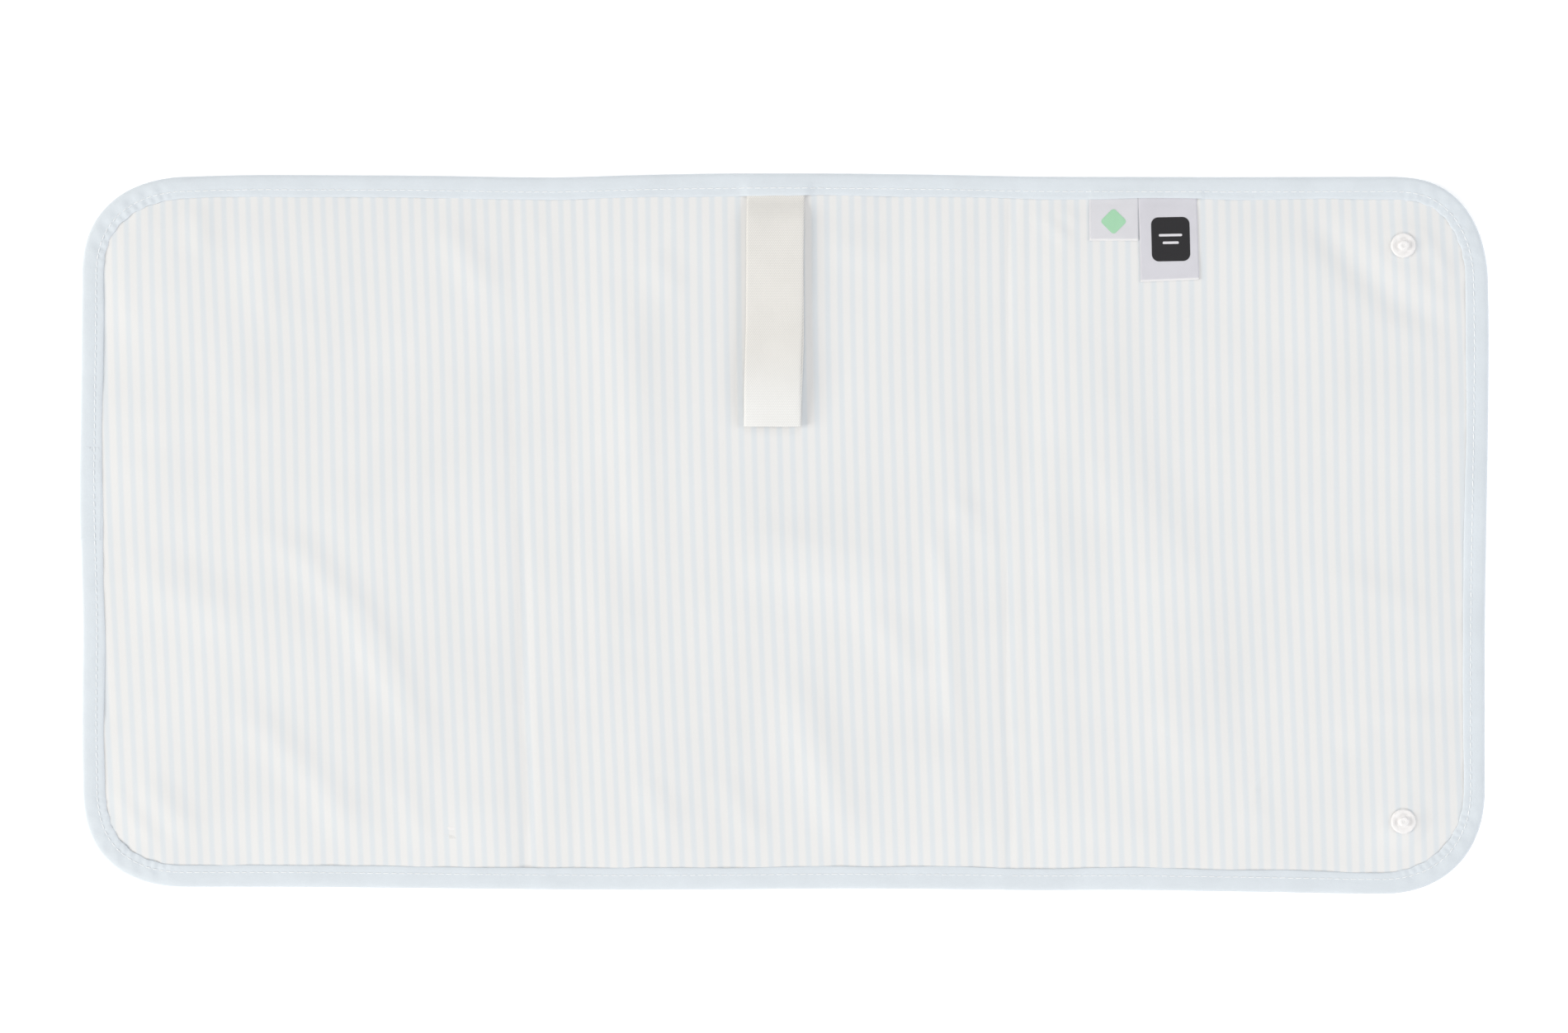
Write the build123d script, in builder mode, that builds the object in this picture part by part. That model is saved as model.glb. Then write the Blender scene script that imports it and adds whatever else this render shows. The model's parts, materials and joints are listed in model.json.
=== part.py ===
"""Fold-up travel changing pad.

Three padded panels joined by two flat fold strips, covered by a wipe-clean face and a plain backing,
bound round the edge with bias tape, with a webbing hanging loop, two sewn-in labels and two plastic
snap closures.
Frame: +X runs along the pad towards the stud end, +Y across it towards the edge that holds the
hanging loop, +Z up. The origin is the centre of the underside. The pad lies open and flat, face up.
"left" is the -X end, "right" the +X end; the "upper" snap parts are at +Y, the "lower" at -Y.
"""

import math
import os

from build123d import *

os.makedirs("parts", exist_ok=True)

# ---------------------------------------------------------------- driving dimensions, mm
pad_length = 630.0
pad_width = 322.0
corner_radius = 44.0
pad_thickness = 5.0
hinge_height = 1.6  # the fold lines run through the middle of the bound edge
fabric_thickness = 0.45

# fold lines, from the middle of the pad
fold_a = -94.5  # middle panel to left fold strip
fold_b = -114.5  # left fold strip to left panel
fold_c = 91.5  # middle panel to right fold strip
fold_d = 107.9  # right fold strip to right panel
fold_clearance = 0.2  # each side of a fold line

# how far each fold turns when the pad is closed; a strip and its outer panel make a half turn
strip_left_angle = 32.7
panel_left_angle = 180.0 - strip_left_angle
strip_right_angle = 90.0
panel_right_angle = 180.0 - strip_right_angle

# bound edge
binding_width = 10.0
binding_height = 2.6
binding_fabric = 0.7
binding_edge_radius = 1.1
binding_low = hinge_height - binding_height / 2
channel_low = binding_low + binding_fabric
channel_height = binding_height - 2 * binding_fabric
stitch_inset = 7.2
stitch_width = 0.4
stitch_thickness = 0.22
stitch_gap = 0.02

# panel sections: a flat flange all round, then a slope to the padded middle
fabric_inset = 0.85  # fabric edge, in from the pad's outer edge
flange_width = 12.0
left_crease_flange = 5.0  # flange beside fold b
crease_flange = 3.0  # flange beside the other folds
face_slope_run = 11.0
backing_slope_run = 8.0
face_flange_low = 1.70
face_flange_top = face_flange_low + fabric_thickness
backing_flange_low = 1.05
wall_drop = 0.47  # height between the outer and inner surfaces of a fabric slope

# snap closures
stud_x = 276.9
snap_y = 128.8
snap_flange_radius = 5.7
snap_flange_thickness = 0.8
snap_gap = 0.02  # between a snap part and the fabric it clamps
cap_radius = 6.2
cap_flat_radius = 3.4
cap_thickness = 1.15
prong_radius = 1.4
stud_floor = 4.3  # where the stud stands on the dimpled face
stud_height = 2.8
nub_radius = 2.15
stud_cap_floor = cap_thickness + 0.1  # underside of the backing over the stud cap
socket_floor = 2.3  # where the socket stands in the dimpled backing
socket_height = 2.2
socket_bore = 2.32
collar_radius = 3.9
fabric_hole_radius = 1.75
wadding_gap = 0.05  # between dimpled fabric and wadding

# loop and labels both lie on the face, then slope down to the bound edge
sewn_slope_y = 138.0  # where that slope starts
sewn_root_low = 3.05  # their underside at the edge

# hanging loop, doubled webbing
loop_width = 25.4
loop_centre_x = -4.5
loop_root_y = 150.0
loop_end_y = 47.4
webbing = 1.2
loop_height = 3.48
loop_lift = 0.12  # above the face

# sewn-in labels
label_thickness = 0.35
label_lift = 0.05  # above the face
label_root_y = 150.3
labels = (
    # name, low x, high x, free end y
    ("label_small", 136.3, 158.2, 131.2),
    ("label_large", 158.7, 186.2, 112.7),
)

# ---------------------------------------------------------------- derived places
half_length = pad_length / 2
# Closed, the left panel turns over about the top of its strip, and the right panel about the top
# of its own. The socket is placed where the closed left panel brings it over the stud.
strip_top_x = fold_a - (fold_a - fold_b) * math.cos(math.radians(strip_left_angle))
stud_closed_x = fold_c + fold_d - stud_x
socket_x = fold_b - (stud_closed_x - strip_top_x)

# The padded part of each panel: its lowest and highest x before the slope starts.
padded = {
    "left": (-half_length + flange_width, fold_b - left_crease_flange),
    "mid": (fold_a + crease_flange, fold_c - crease_flange),
    "right": (fold_d + crease_flange, half_length - flange_width),
}

# Snap places on the backing: x, and the height of the dimple's floor.
backing_dimples = {"left": (socket_x, socket_floor), "right": (stud_x, stud_cap_floor)}
snap_sides = (("upper", snap_y), ("lower", -snap_y))

# ---------------------------------------------------------------- bands
# Every piece of one body stays inside its own band of the pad. A band's end leans back above the
# fold line by half the fold's turn, so that two bands meet edge to edge when the pad is closed and
# never cross.
band_low = -1.0
panel_band_top = 8.0
strip_band_top = hinge_height + 2.0
band_half_depth = 200
band_end_x = half_length + 5  # clear of the pad's end


def lean(fold_angle):
    """Run per unit of rise for half of a fold's turn."""
    return math.tan(math.radians(fold_angle / 2))


lean_a = lean(strip_left_angle)
lean_b = lean(panel_left_angle)
lean_c = lean(strip_right_angle)
lean_d = lean(panel_right_angle)

bands = {
    # low x, lean there, high x, lean there, top
    "left": (-band_end_x, 0, fold_b - fold_clearance, lean_b, panel_band_top),
    "spine_left": (
        fold_b + fold_clearance, lean_b, fold_a - fold_clearance, lean_a, strip_band_top
    ),
    "mid": (fold_a + fold_clearance, lean_a, fold_c - fold_clearance, lean_c, panel_band_top),
    "spine_right": (
        fold_c + fold_clearance, lean_c, fold_d - fold_clearance, lean_d, strip_band_top
    ),
    "right": (fold_d + fold_clearance, lean_d, band_end_x, 0, panel_band_top),
}
band_sections = {}
for band_name, (low_x, low_lean, high_x, high_lean, top) in bands.items():
    rise = top - hinge_height
    with BuildSketch(Plane.XZ) as band_section:
        with BuildLine():
            Polyline(
                (low_x, band_low),
                (high_x, band_low),
                (high_x, hinge_height),
                (high_x - rise * high_lean, top),
                (low_x + rise * low_lean, top),
                (low_x, hinge_height),
                close=True,
            )
        make_face()
    band_sections[band_name] = band_section.sketch


# ---------------------------------------------------------------- shared steps
# The outline and trim helpers act on whichever builder is open where they are called.
def pad_outline(inset, mode=Mode.ADD):
    """Add the pad's rounded outline, moved in by inset, to the open sketch."""
    RectangleRounded(pad_length - 2 * inset, pad_width - 2 * inset, corner_radius - inset, mode=mode)


def padded_outline(name, inset):
    """Add the outline of one panel's padded part, moved in by inset, to the open sketch."""
    low_x, high_x = padded[name]
    pad_outline(flange_width + inset)
    with Locations(((low_x + high_x) / 2, 0)):
        Rectangle(high_x - low_x - 2 * inset, pad_width, mode=Mode.INTERSECT)


def trim_to_band(name):
    """Cut the open part down to its band."""
    extrude(band_sections[name], amount=band_half_depth, both=True, mode=Mode.INTERSECT)


def snap_plane(x, y, z=0):
    """Upright plane through a snap's axis: local x is radius, local y is height above z."""
    return Plane((x, y, z), x_dir=(1, 0, 0), z_dir=(0, -1, 0))


def snap_axis(x, y):
    return Axis((x, y, 0), (0, 0, 1))


def cross_plane(x):
    """Upright plane across the pad: local x is the pad's y, local y is height."""
    return Plane((x, 0, 0), x_dir=(0, 1, 0), z_dir=(1, 0, 0))


def save_part(part, name):
    part.label = name
    export_step(part, f"parts/{name}.step")


# ---------------------------------------------------------------- face: printed, laminated fabric
# Dimple wall where a stud clamps the face: radius, height.
face_dimple = (
    (fabric_hole_radius, stud_floor - fabric_thickness),
    (6.6, stud_floor - fabric_thickness),
    (9.4, pad_thickness - wall_drop + 0.01),
    (9.4, pad_thickness),
    (9.0, pad_thickness),
    (6.2, stud_floor),
    (fabric_hole_radius, stud_floor),
)
face_dimple_cut_radius = 9.3
face_dimple_cut_low = pad_thickness - 2


def build_face(name):
    with BuildPart() as face:
        # the flange that runs under the binding and up to the fold
        with BuildSketch(Plane.XY.offset(face_flange_low)):
            pad_outline(fabric_inset)
        extrude(amount=fabric_thickness)
        # the slope and the flat middle, then the hollow under them for the wadding
        for drop, mode in ((0, Mode.ADD), (wall_drop, Mode.SUBTRACT)):
            with BuildSketch(Plane.XY.offset(face_flange_top - drop)):
                padded_outline(name, 0)
            with BuildSketch(Plane.XY.offset(pad_thickness - drop)):
                padded_outline(name, face_slope_run)
            loft(ruled=True, mode=mode)
        if name == "right":
            # shallow dimples where the snaps clamp the pad
            with BuildSketch(Plane.XY.offset(face_dimple_cut_low)):
                with Locations((stud_x, snap_y), (stud_x, -snap_y)):
                    Circle(face_dimple_cut_radius)
            extrude(amount=3, mode=Mode.SUBTRACT)
            for y in (snap_y, -snap_y):
                with BuildSketch(snap_plane(stud_x, y)):
                    with BuildLine():
                        Polyline(*face_dimple, close=True)
                    make_face()
                revolve(axis=snap_axis(stud_x, y))
        trim_to_band(name)
    save_part(face.part, f"face_{name}")


# ---------------------------------------------------------------- backing: plain woven fabric
backing_dimple_cut_radius = 10.3


def backing_dimple(floor):
    """Dimple wall in the backing: radius, height."""
    return (
        (fabric_hole_radius, floor),
        (6.6, floor),
        (10.0, 0.0),
        (10.4, 0.0),
        (10.4, wall_drop),
        (6.9, floor + fabric_thickness),
        (fabric_hole_radius, floor + fabric_thickness),
    )


def build_backing(name):
    with BuildPart() as backing:
        with BuildSketch(Plane.XY.offset(backing_flange_low)):
            pad_outline(fabric_inset)
        extrude(amount=fabric_thickness)
        # the slope and the flat middle, then the hollow over them
        for lift, mode in ((0, Mode.ADD), (wall_drop, Mode.SUBTRACT)):
            with BuildSketch(Plane.XY.offset(lift)):
                padded_outline(name, backing_slope_run)
            with BuildSketch(Plane.XY.offset(backing_flange_low + lift)):
                padded_outline(name, 0)
            loft(ruled=True, mode=mode)
        if name in backing_dimples:
            # dimples that keep the snap parts above the table
            snap_x, floor = backing_dimples[name]
            with BuildSketch(Plane.XY.offset(-1)):
                with Locations((snap_x, snap_y), (snap_x, -snap_y)):
                    Circle(backing_dimple_cut_radius)
            extrude(amount=2, mode=Mode.SUBTRACT)
            for y in (snap_y, -snap_y):
                with BuildSketch(snap_plane(snap_x, y)):
                    with BuildLine():
                        Polyline(*backing_dimple(floor), close=True)
                    make_face()
                revolve(axis=snap_axis(snap_x, y))
        trim_to_band(name)
    save_part(backing.part, f"backing_{name}")


# ---------------------------------------------------------------- wadding: one block in each panel
# The block's lower and upper layers: low z, inset there, high z, inset there.
wadding_layers = (
    (0.52, 8.6, 1.58, 0.6),
    (1.58, 0.6, 4.48, 11.5),
)
stud_wadding_low = stud_cap_floor + fabric_thickness + wadding_gap
stud_wadding_high = stud_floor - fabric_thickness - wadding_gap
# What the snaps take out of the wadding: snap x, then the section as radius, height.
wadding_cuts = {
    # squeezed thin round each stud, with a hole for the prong
    "right": (
        stud_x,
        (
            (0, 0),
            (10.9, 0),
            (10.9, 0.5),
            (7.1, stud_wadding_low),
            (1.9, stud_wadding_low),
            (1.9, stud_wadding_high),
            (6.7, stud_wadding_high),
            (9.8, 4.5),
            (9.8, 5.0),
            (0, 5.0),
        ),
    ),
    # a pocket over each socket for its hidden cap
    "left": (
        socket_x,
        (
            (0, 0),
            (10.9, 0),
            (10.9, 0.55),
            (7.3, socket_floor + fabric_thickness + wadding_gap),
            (6.6, 4.0),
            (0, 4.0),
        ),
    ),
}


def build_wadding(name):
    with BuildPart() as wadding:
        for low_z, low_inset, high_z, high_inset in wadding_layers:
            with BuildSketch(Plane.XY.offset(low_z)):
                padded_outline(name, low_inset)
            with BuildSketch(Plane.XY.offset(high_z)):
                padded_outline(name, high_inset)
            loft(ruled=True)
        if name in wadding_cuts:
            snap_x, cut_section = wadding_cuts[name]
            for y in (snap_y, -snap_y):
                with BuildSketch(snap_plane(snap_x, y)):
                    with BuildLine():
                        Polyline(*cut_section, close=True)
                    make_face()
                revolve(axis=snap_axis(snap_x, y), mode=Mode.SUBTRACT)
    save_part(wadding.part, f"wadding_{name}")


# ---------------------------------------------------------------- fold strips: no wadding
def build_fabric_strip(layer, low_z, name):
    with BuildPart() as strip:
        with BuildSketch(Plane.XY.offset(low_z)):
            pad_outline(fabric_inset)
        extrude(amount=fabric_thickness)
        trim_to_band(name)
    save_part(strip.part, f"{layer}_{name}")


# ---------------------------------------------------------------- bias binding and its thread
def build_binding(name):
    """Tape folded over the pad's edge."""
    with BuildPart() as binding:
        with BuildSketch(Plane.XY.offset(binding_low)):
            pad_outline(0)
        extrude(amount=binding_height)
        outer_edges = binding.edges().filter_by(Plane.XY)
        fillet(outer_edges, radius=binding_edge_radius)
        # the channel that holds the fabric edges
        with BuildSketch(Plane.XY.offset(channel_low)):
            pad_outline(binding_fabric)
        extrude(amount=channel_height, mode=Mode.SUBTRACT)
        # the opening inside the binding
        with BuildSketch(Plane.XY):
            pad_outline(binding_width)
        extrude(amount=6, mode=Mode.SUBTRACT)
        trim_to_band(name)
    save_part(binding.part, f"binding_{name}")


def build_topstitch(name):
    """The thread that closes the binding, on the face and on the back."""
    with BuildPart() as thread:
        for low_z in (
            binding_low + binding_height + stitch_gap,
            binding_low - stitch_gap - stitch_thickness,
        ):
            with BuildSketch(Plane.XY.offset(low_z)):
                pad_outline(stitch_inset)
                pad_outline(stitch_inset + stitch_width, mode=Mode.SUBTRACT)
            extrude(amount=stitch_thickness)
        trim_to_band(name)
    save_part(thread.part, f"topstitch_{name}")


# ---------------------------------------------------------------- snap closures
# Stud section: radius, height above the stud floor.
stud_section = (
    (1.55, snap_gap),
    (snap_flange_radius, snap_gap),
    (snap_flange_radius, 0.62),
    (snap_flange_radius - 0.25, snap_flange_thickness),
    (snap_flange_radius - 1.0, snap_flange_thickness),
    (snap_flange_radius - 1.55, 0.45),
    (nub_radius + 0.55, 0.45),
    (nub_radius - 0.12, 0.75),
    (nub_radius - 0.12, 1.75),
    (nub_radius, 2.05),
    (nub_radius, 2.4),
    (nub_radius - 0.3, stud_height),
    (1.6, stud_height),
    (1.5, 1.6),
    (1.5, 1.0),
    (1.55, 1.0),
)
# Socket section: radius, height above the socket floor (it hangs below).
socket_section = (
    (1.5, -snap_gap),
    (snap_flange_radius, -snap_gap),
    (snap_flange_radius, -0.62),
    (snap_flange_radius - 0.25, -snap_flange_thickness),
    (collar_radius + 0.1, -snap_flange_thickness),
    (collar_radius, -0.9),
    (collar_radius - 0.1, -socket_height + 0.3),
    (collar_radius - 0.4, -socket_height),
    (socket_bore + 0.3, -socket_height),
    (socket_bore, -socket_height + 0.3),
    (socket_bore, -0.7),
    (1.95, -0.7),
    (1.95, -0.3),
    (1.5, -0.3),
)


def build_snap_ring(name, x, y, floor, section):
    """A stud or a socket, turned from its section."""
    with BuildPart() as ring:
        with BuildSketch(snap_plane(x, y, floor)):
            with BuildLine():
                Polyline(*section, close=True)
            make_face()
        revolve(axis=snap_axis(x, y))
    save_part(ring.part, name)


def build_stud_cap(name, y):
    """Cap on the back of the right panel, with the prong pressed over inside the nub."""
    prong_top = stud_floor + 1.95
    with BuildPart() as stud_cap:
        with BuildSketch(snap_plane(stud_x, y)):
            with BuildLine():
                Polyline((0, prong_top), (0, 0.02), (cap_flat_radius, 0.02))
                ThreePointArc((cap_flat_radius, 0.02), (5.3, 0.22), (cap_radius, 0.75))
                Polyline(
                    (cap_radius, 0.75),
                    (cap_radius, cap_thickness),
                    (prong_radius, cap_thickness),
                    (prong_radius, stud_floor + 1.62),
                    (1.42, stud_floor + 1.68),
                    (1.42, stud_floor + 1.8),
                    (1.1, prong_top),
                    (0, prong_top),
                )
            make_face()
        revolve(axis=snap_axis(stud_x, y))
    save_part(stud_cap.part, name)


def build_socket_cap(name, y):
    """Cap hidden between the backing and the wadding, with its prong pointing down."""
    base = socket_floor + fabric_thickness + snap_gap
    cap_top = base + cap_thickness
    prong_tip = socket_floor - 0.66
    with BuildPart() as socket_cap:
        with BuildSketch(snap_plane(socket_x, y)):
            with BuildLine():
                Polyline(
                    (0, cap_top),
                    (0, prong_tip),
                    (1.6, prong_tip),
                    (1.85, socket_floor - 0.5),
                    (1.85, socket_floor - 0.33),
                    (prong_radius, socket_floor - 0.33),
                    (prong_radius, base),
                    (cap_radius, base),
                    (cap_radius, base + 0.4),
                )
                ThreePointArc(
                    (cap_radius, base + 0.4), (5.3, base + 0.93), (cap_flat_radius, cap_top)
                )
                Line((cap_flat_radius, cap_top), (0, cap_top))
            make_face()
        revolve(axis=snap_axis(socket_x, y))
    save_part(socket_cap.part, name)


# ---------------------------------------------------------------- hanging loop
def build_hanging_loop():
    """Webbing doubled back to the edge."""
    low = pad_thickness + loop_lift
    high = low + loop_height
    bend_radius = loop_height / 2
    bend_y = loop_end_y + bend_radius
    inner_low = low + webbing
    inner_high = high - webbing
    inner_root_y = 137.5
    with BuildPart() as hanging_loop:
        with BuildSketch(cross_plane(loop_centre_x)):
            with BuildLine():
                Polyline(
                    (bend_y, low),
                    (sewn_slope_y, low),
                    (loop_root_y, sewn_root_low),
                    (loop_root_y, sewn_root_low + 2 * webbing),
                    (sewn_slope_y, high),
                    (bend_y, high),
                )
                ThreePointArc((bend_y, high), (loop_end_y, low + bend_radius), (bend_y, low))
            make_face()
            # the gap between the two layers
            with BuildLine():
                Polyline(
                    (bend_y, inner_low),
                    (inner_root_y, inner_low),
                    (144.0, inner_low - 0.35),
                    (inner_root_y, inner_high),
                    (bend_y, inner_high),
                )
                ThreePointArc(
                    (bend_y, inner_high),
                    (loop_end_y + webbing, low + bend_radius),
                    (bend_y, inner_low),
                )
            make_face(mode=Mode.SUBTRACT)
        extrude(amount=loop_width / 2, both=True)
    save_part(hanging_loop.part, "hanging_loop")


# ---------------------------------------------------------------- labels
def build_label(name, low_x, high_x, end_y):
    """Satin ribbon, sewn in under the binding."""
    low = pad_thickness + label_lift
    with BuildPart() as label:
        with BuildSketch(cross_plane(low_x)):
            with BuildLine():
                Polyline(
                    (end_y, low),
                    (sewn_slope_y, low),
                    (label_root_y, sewn_root_low),
                    (label_root_y, sewn_root_low + label_thickness),
                    (sewn_slope_y, low + label_thickness),
                    (end_y, low + label_thickness),
                    close=True,
                )
            make_face()
        extrude(amount=high_x - low_x)
    save_part(label.part, name)


# ---------------------------------------------------------------- build every piece
for panel in padded:
    build_face(panel)
    build_backing(panel)
    build_wadding(panel)

for fold_strip in ("spine_left", "spine_right"):
    build_fabric_strip("face", face_flange_low, fold_strip)
    build_fabric_strip("backing", backing_flange_low, fold_strip)

for band_name in bands:
    build_binding(band_name)
    build_topstitch(band_name)

for side, side_y in snap_sides:
    build_snap_ring(f"stud_{side}", stud_x, side_y, stud_floor, stud_section)
    build_stud_cap(f"stud_cap_{side}", side_y)
    build_snap_ring(f"socket_{side}", socket_x, side_y, socket_floor, socket_section)
    build_socket_cap(f"socket_cap_{side}", side_y)

build_hanging_loop()

for label_row in labels:
    build_label(*label_row)
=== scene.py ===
# A padded mat lying open on the floor, printed face up: three padded panels in a row along x,
# joined by two narrow strips that fold along y. A bias binding runs round the edge. A doubled
# webbing loop and two ribbon labels hang from the +y edge over the face; two snap studs sit on
# the right panel's face and their sockets under the left panel.
# Axes: +x right, +y top, +z up from the floor. Geometry is worked out in millimetres.
import json
import math
from collections import namedtuple

import bmesh
import bpy
import numpy as np
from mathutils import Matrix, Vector


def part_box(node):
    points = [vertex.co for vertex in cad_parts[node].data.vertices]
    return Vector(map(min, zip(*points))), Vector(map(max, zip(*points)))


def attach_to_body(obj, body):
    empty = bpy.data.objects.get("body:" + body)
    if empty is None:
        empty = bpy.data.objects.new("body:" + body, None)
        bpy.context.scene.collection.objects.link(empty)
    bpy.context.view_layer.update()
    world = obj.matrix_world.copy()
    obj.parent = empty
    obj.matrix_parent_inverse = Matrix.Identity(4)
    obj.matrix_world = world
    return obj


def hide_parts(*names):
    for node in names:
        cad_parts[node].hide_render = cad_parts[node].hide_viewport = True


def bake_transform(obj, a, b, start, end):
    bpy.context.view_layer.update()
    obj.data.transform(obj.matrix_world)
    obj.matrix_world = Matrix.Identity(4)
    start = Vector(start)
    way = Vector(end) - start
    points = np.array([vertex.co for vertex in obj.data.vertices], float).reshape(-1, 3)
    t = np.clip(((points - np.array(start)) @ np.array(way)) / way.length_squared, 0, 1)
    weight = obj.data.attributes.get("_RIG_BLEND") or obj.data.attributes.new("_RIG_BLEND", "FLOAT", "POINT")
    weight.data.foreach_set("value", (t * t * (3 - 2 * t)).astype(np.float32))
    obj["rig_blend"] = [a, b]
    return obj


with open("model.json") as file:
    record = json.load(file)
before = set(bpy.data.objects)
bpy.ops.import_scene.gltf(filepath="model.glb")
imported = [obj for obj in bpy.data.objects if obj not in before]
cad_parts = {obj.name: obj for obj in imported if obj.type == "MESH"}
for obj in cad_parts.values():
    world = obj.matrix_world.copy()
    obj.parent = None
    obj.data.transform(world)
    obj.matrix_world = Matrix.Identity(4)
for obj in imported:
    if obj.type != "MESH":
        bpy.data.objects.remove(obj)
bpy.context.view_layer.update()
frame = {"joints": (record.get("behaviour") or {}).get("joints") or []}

scene = bpy.context.scene
MM = 0.001


# ---------------------------------------------------------------- places from the frame
def node_box(name):
    low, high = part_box(name)
    return np.array(low) * 1000, np.array(high) * 1000


def node_place(name):
    """Middle of a frame piece, x and y."""
    low, high = node_box(name)
    return ((low + high) / 2)[:2]


joints = {joint["name"]: joint["pos_m"] for joint in frame["joints"]}
# x of the four fold lines, left to right
LEFT_OUTER = joints["fold_left"][0] * 1000
LEFT_INNER = joints["fold_left_strip"][0] * 1000
RIGHT_INNER = joints["fold_right_strip"][0] * 1000
RIGHT_OUTER = joints["fold_right"][0] * 1000
HINGE = joints["fold_left"][2] * 1000  # height of the fold lines

STUDS = {side: node_place(f"stud_{side}") for side in ("upper", "lower")}
SOCKETS = {side: node_place(f"socket_{side}") for side in ("upper", "lower")}
STUD_FLOOR = node_box("stud_upper")[0][2] - 0.02
SOCKET_FLOOR = node_box("socket_upper")[1][2] + 0.02

# ---------------------------------------------------------------- driving sizes
# The nominal sheet is a rounded rectangle about the origin; warp() eases it to its sewn shape.
HALF_X, HALF_Y, CORNER_R = 314.0, 159.5, 46.0
CORE_X, CORE_Y = HALF_X - CORNER_R, HALF_Y - CORNER_R  # centres of the corner arcs
FACE_THICK = 0.42
BACK_THICK = 0.40
COVER_INSET = 3.6  # the cover's edge lies this far inside the outline, within the binding
WADDING_INSET = 14.0
STITCH_INSET = 6.65

CAMERA_HEIGHT = 1900.0  # above the plane the outline is measured in
FOCUS_Z = 4.5
CAMERA_Y = 7.56458
TAPE_MID_Z = 1.6  # the tape's widest line
# the outline is seen from above at FOCUS_Z, and the tape lies lower, so it is a little larger
TAPE_SPREAD = 1 + (FOCUS_Z - TAPE_MID_Z) / CAMERA_HEIGHT


# ---------------------------------------------------------------- numeric helpers
def smooth(t):
    t = np.clip(t, 0.0, 1.0)
    return t * t * (3 - 2 * t)


def ramp(value, start, span):
    """Eased rise from 0 at start to 1 at start + span."""
    return smooth((value - start) / span)


def bell(distance, width):
    return np.exp(-((distance / width) ** 2))


def ease_curve(points):
    """A smooth function through a few control points."""
    px, py = np.array(points, float).T
    margin, sigma, reach = 60, 9.0, 60  # overrun at the ends, blur width, kernel half in samples
    dense = np.linspace(px[0] - margin, px[-1] + margin, 1600)
    raw = np.interp(dense, px, py)
    kernel = bell(np.arange(-reach, reach + 1) * (dense[1] - dense[0]), sigma * math.sqrt(2))
    soft = np.convolve(np.pad(raw, reach, mode="edge"), kernel / kernel.sum(), "valid")
    return lambda v: np.interp(v, dense, soft)


def catmull(before, start, end, after, t):
    """Cubic between start and end that also heeds the neighbours."""
    return 0.5 * (
        2 * start
        + (end - before) * t
        + (2 * before - 5 * start + 4 * end - after) * t**2
        + (3 * start - before - 3 * end + after) * t**3
    )


def waves(seed, count, low, high):
    """A fixed smooth random field of long waves, about unit height; low, high: wavelengths."""
    rng = np.random.RandomState(seed)
    angle = rng.uniform(0, math.pi, count)
    length = rng.uniform(low, high, count)
    phase = rng.uniform(0, 2 * math.pi, count)
    gain = length / high
    gain /= math.sqrt((gain**2).sum() / 2)

    def field(x, y):
        out = np.zeros_like(np.asarray(x, float))
        for turn, wavelength, start, size in zip(angle, length, phase, gain):
            run = x * math.cos(turn) + y * math.sin(turn)
            out = out + size * np.sin(2 * math.pi * run / wavelength + start)
        return out

    return field


def along(seed, count, low, high):
    """The same along one line."""
    field = waves(seed, count, low, high)
    return lambda s: field(s, 0.0 * np.asarray(s, float))


def to_line(x, y, points):
    """Distance to an open line, signed by side, and the share of it passed at the nearest point."""
    best = np.full(np.shape(x), 1e9)
    side = np.zeros(np.shape(x))
    share = np.zeros(np.shape(x))
    total = sum(math.dist(*pair) for pair in zip(points[:-1], points[1:]))
    run = 0.0
    for (ax, ay), (bx, by) in zip(points[:-1], points[1:]):
        length = math.hypot(bx - ax, by - ay)
        ux, uy = (bx - ax) / length, (by - ay) / length
        t = np.clip((x - ax) * ux + (y - ay) * uy, 0, length)
        dx, dy = x - (ax + t * ux), y - (ay + t * uy)
        distance = np.hypot(dx, dy)
        near = distance < best
        best = np.where(near, distance, best)
        side = np.where(near, ux * dy - uy * dx, side)
        share = np.where(near, (run + t) / total, share)
        run += length
    return np.where(side < 0, -best, best), share


# ---------------------------------------------------------------- outline
# along x, y of the edge
edge_top = ease_curve([
    (-300, 159.8), (-284, 159.3), (-268, 159.3), (-252, 160.1), (-236, 160.35),
    (-160, 160.0), (-118, 159.2), (-100, 159.1), (-70, 160.2), (-30, 161.0),
    (20, 161.0), (70, 160.4), (110, 159.5), (200, 159.3), (300, 159.6),
])
edge_bottom = ease_curve([
    (-300, -158.1), (-220, -158.1), (-140, -158.9), (-90, -159.4), (-60, -159.5),
    (-30, -159.3), (30, -158.8), (80, -159.2), (110, -159.7), (150, -159.4),
    (210, -160.3), (260, -161.3), (300, -161.3),
])
# along y, x of the edge
edge_left = ease_curve([
    (-150, -314.0), (-116, -313.5), (-96, -314.0), (-80, -314.0), (-40, -313.6),
    (0, -314.7), (22, -315.0), (50, -314.7), (100, -314.1), (150, -313.9),
])
edge_right = ease_curve([
    (-150, 313.4), (-40, 313.4), (0, 314.0), (45, 314.8), (90, 315.2),
    (110, 314.8), (124, 314.5), (150, 315.2),
])
# each corner, in the order top left, bottom left, top right, bottom right:
# how far it is pushed out past a plain arc, and how the push leans round the arc
CORNER_PUSH = (1.75, 2.4, 2.25, 1.3)
CORNER_LEAN = (0.1, 0.05, -0.16, 0.0)


def per_corner(x, y, values):
    top_left, bottom_left, top_right, bottom_right = values
    left = np.where(y > 0, top_left, bottom_left)
    return np.where(x < 0, left, np.where(y > 0, top_right, bottom_right))


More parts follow.
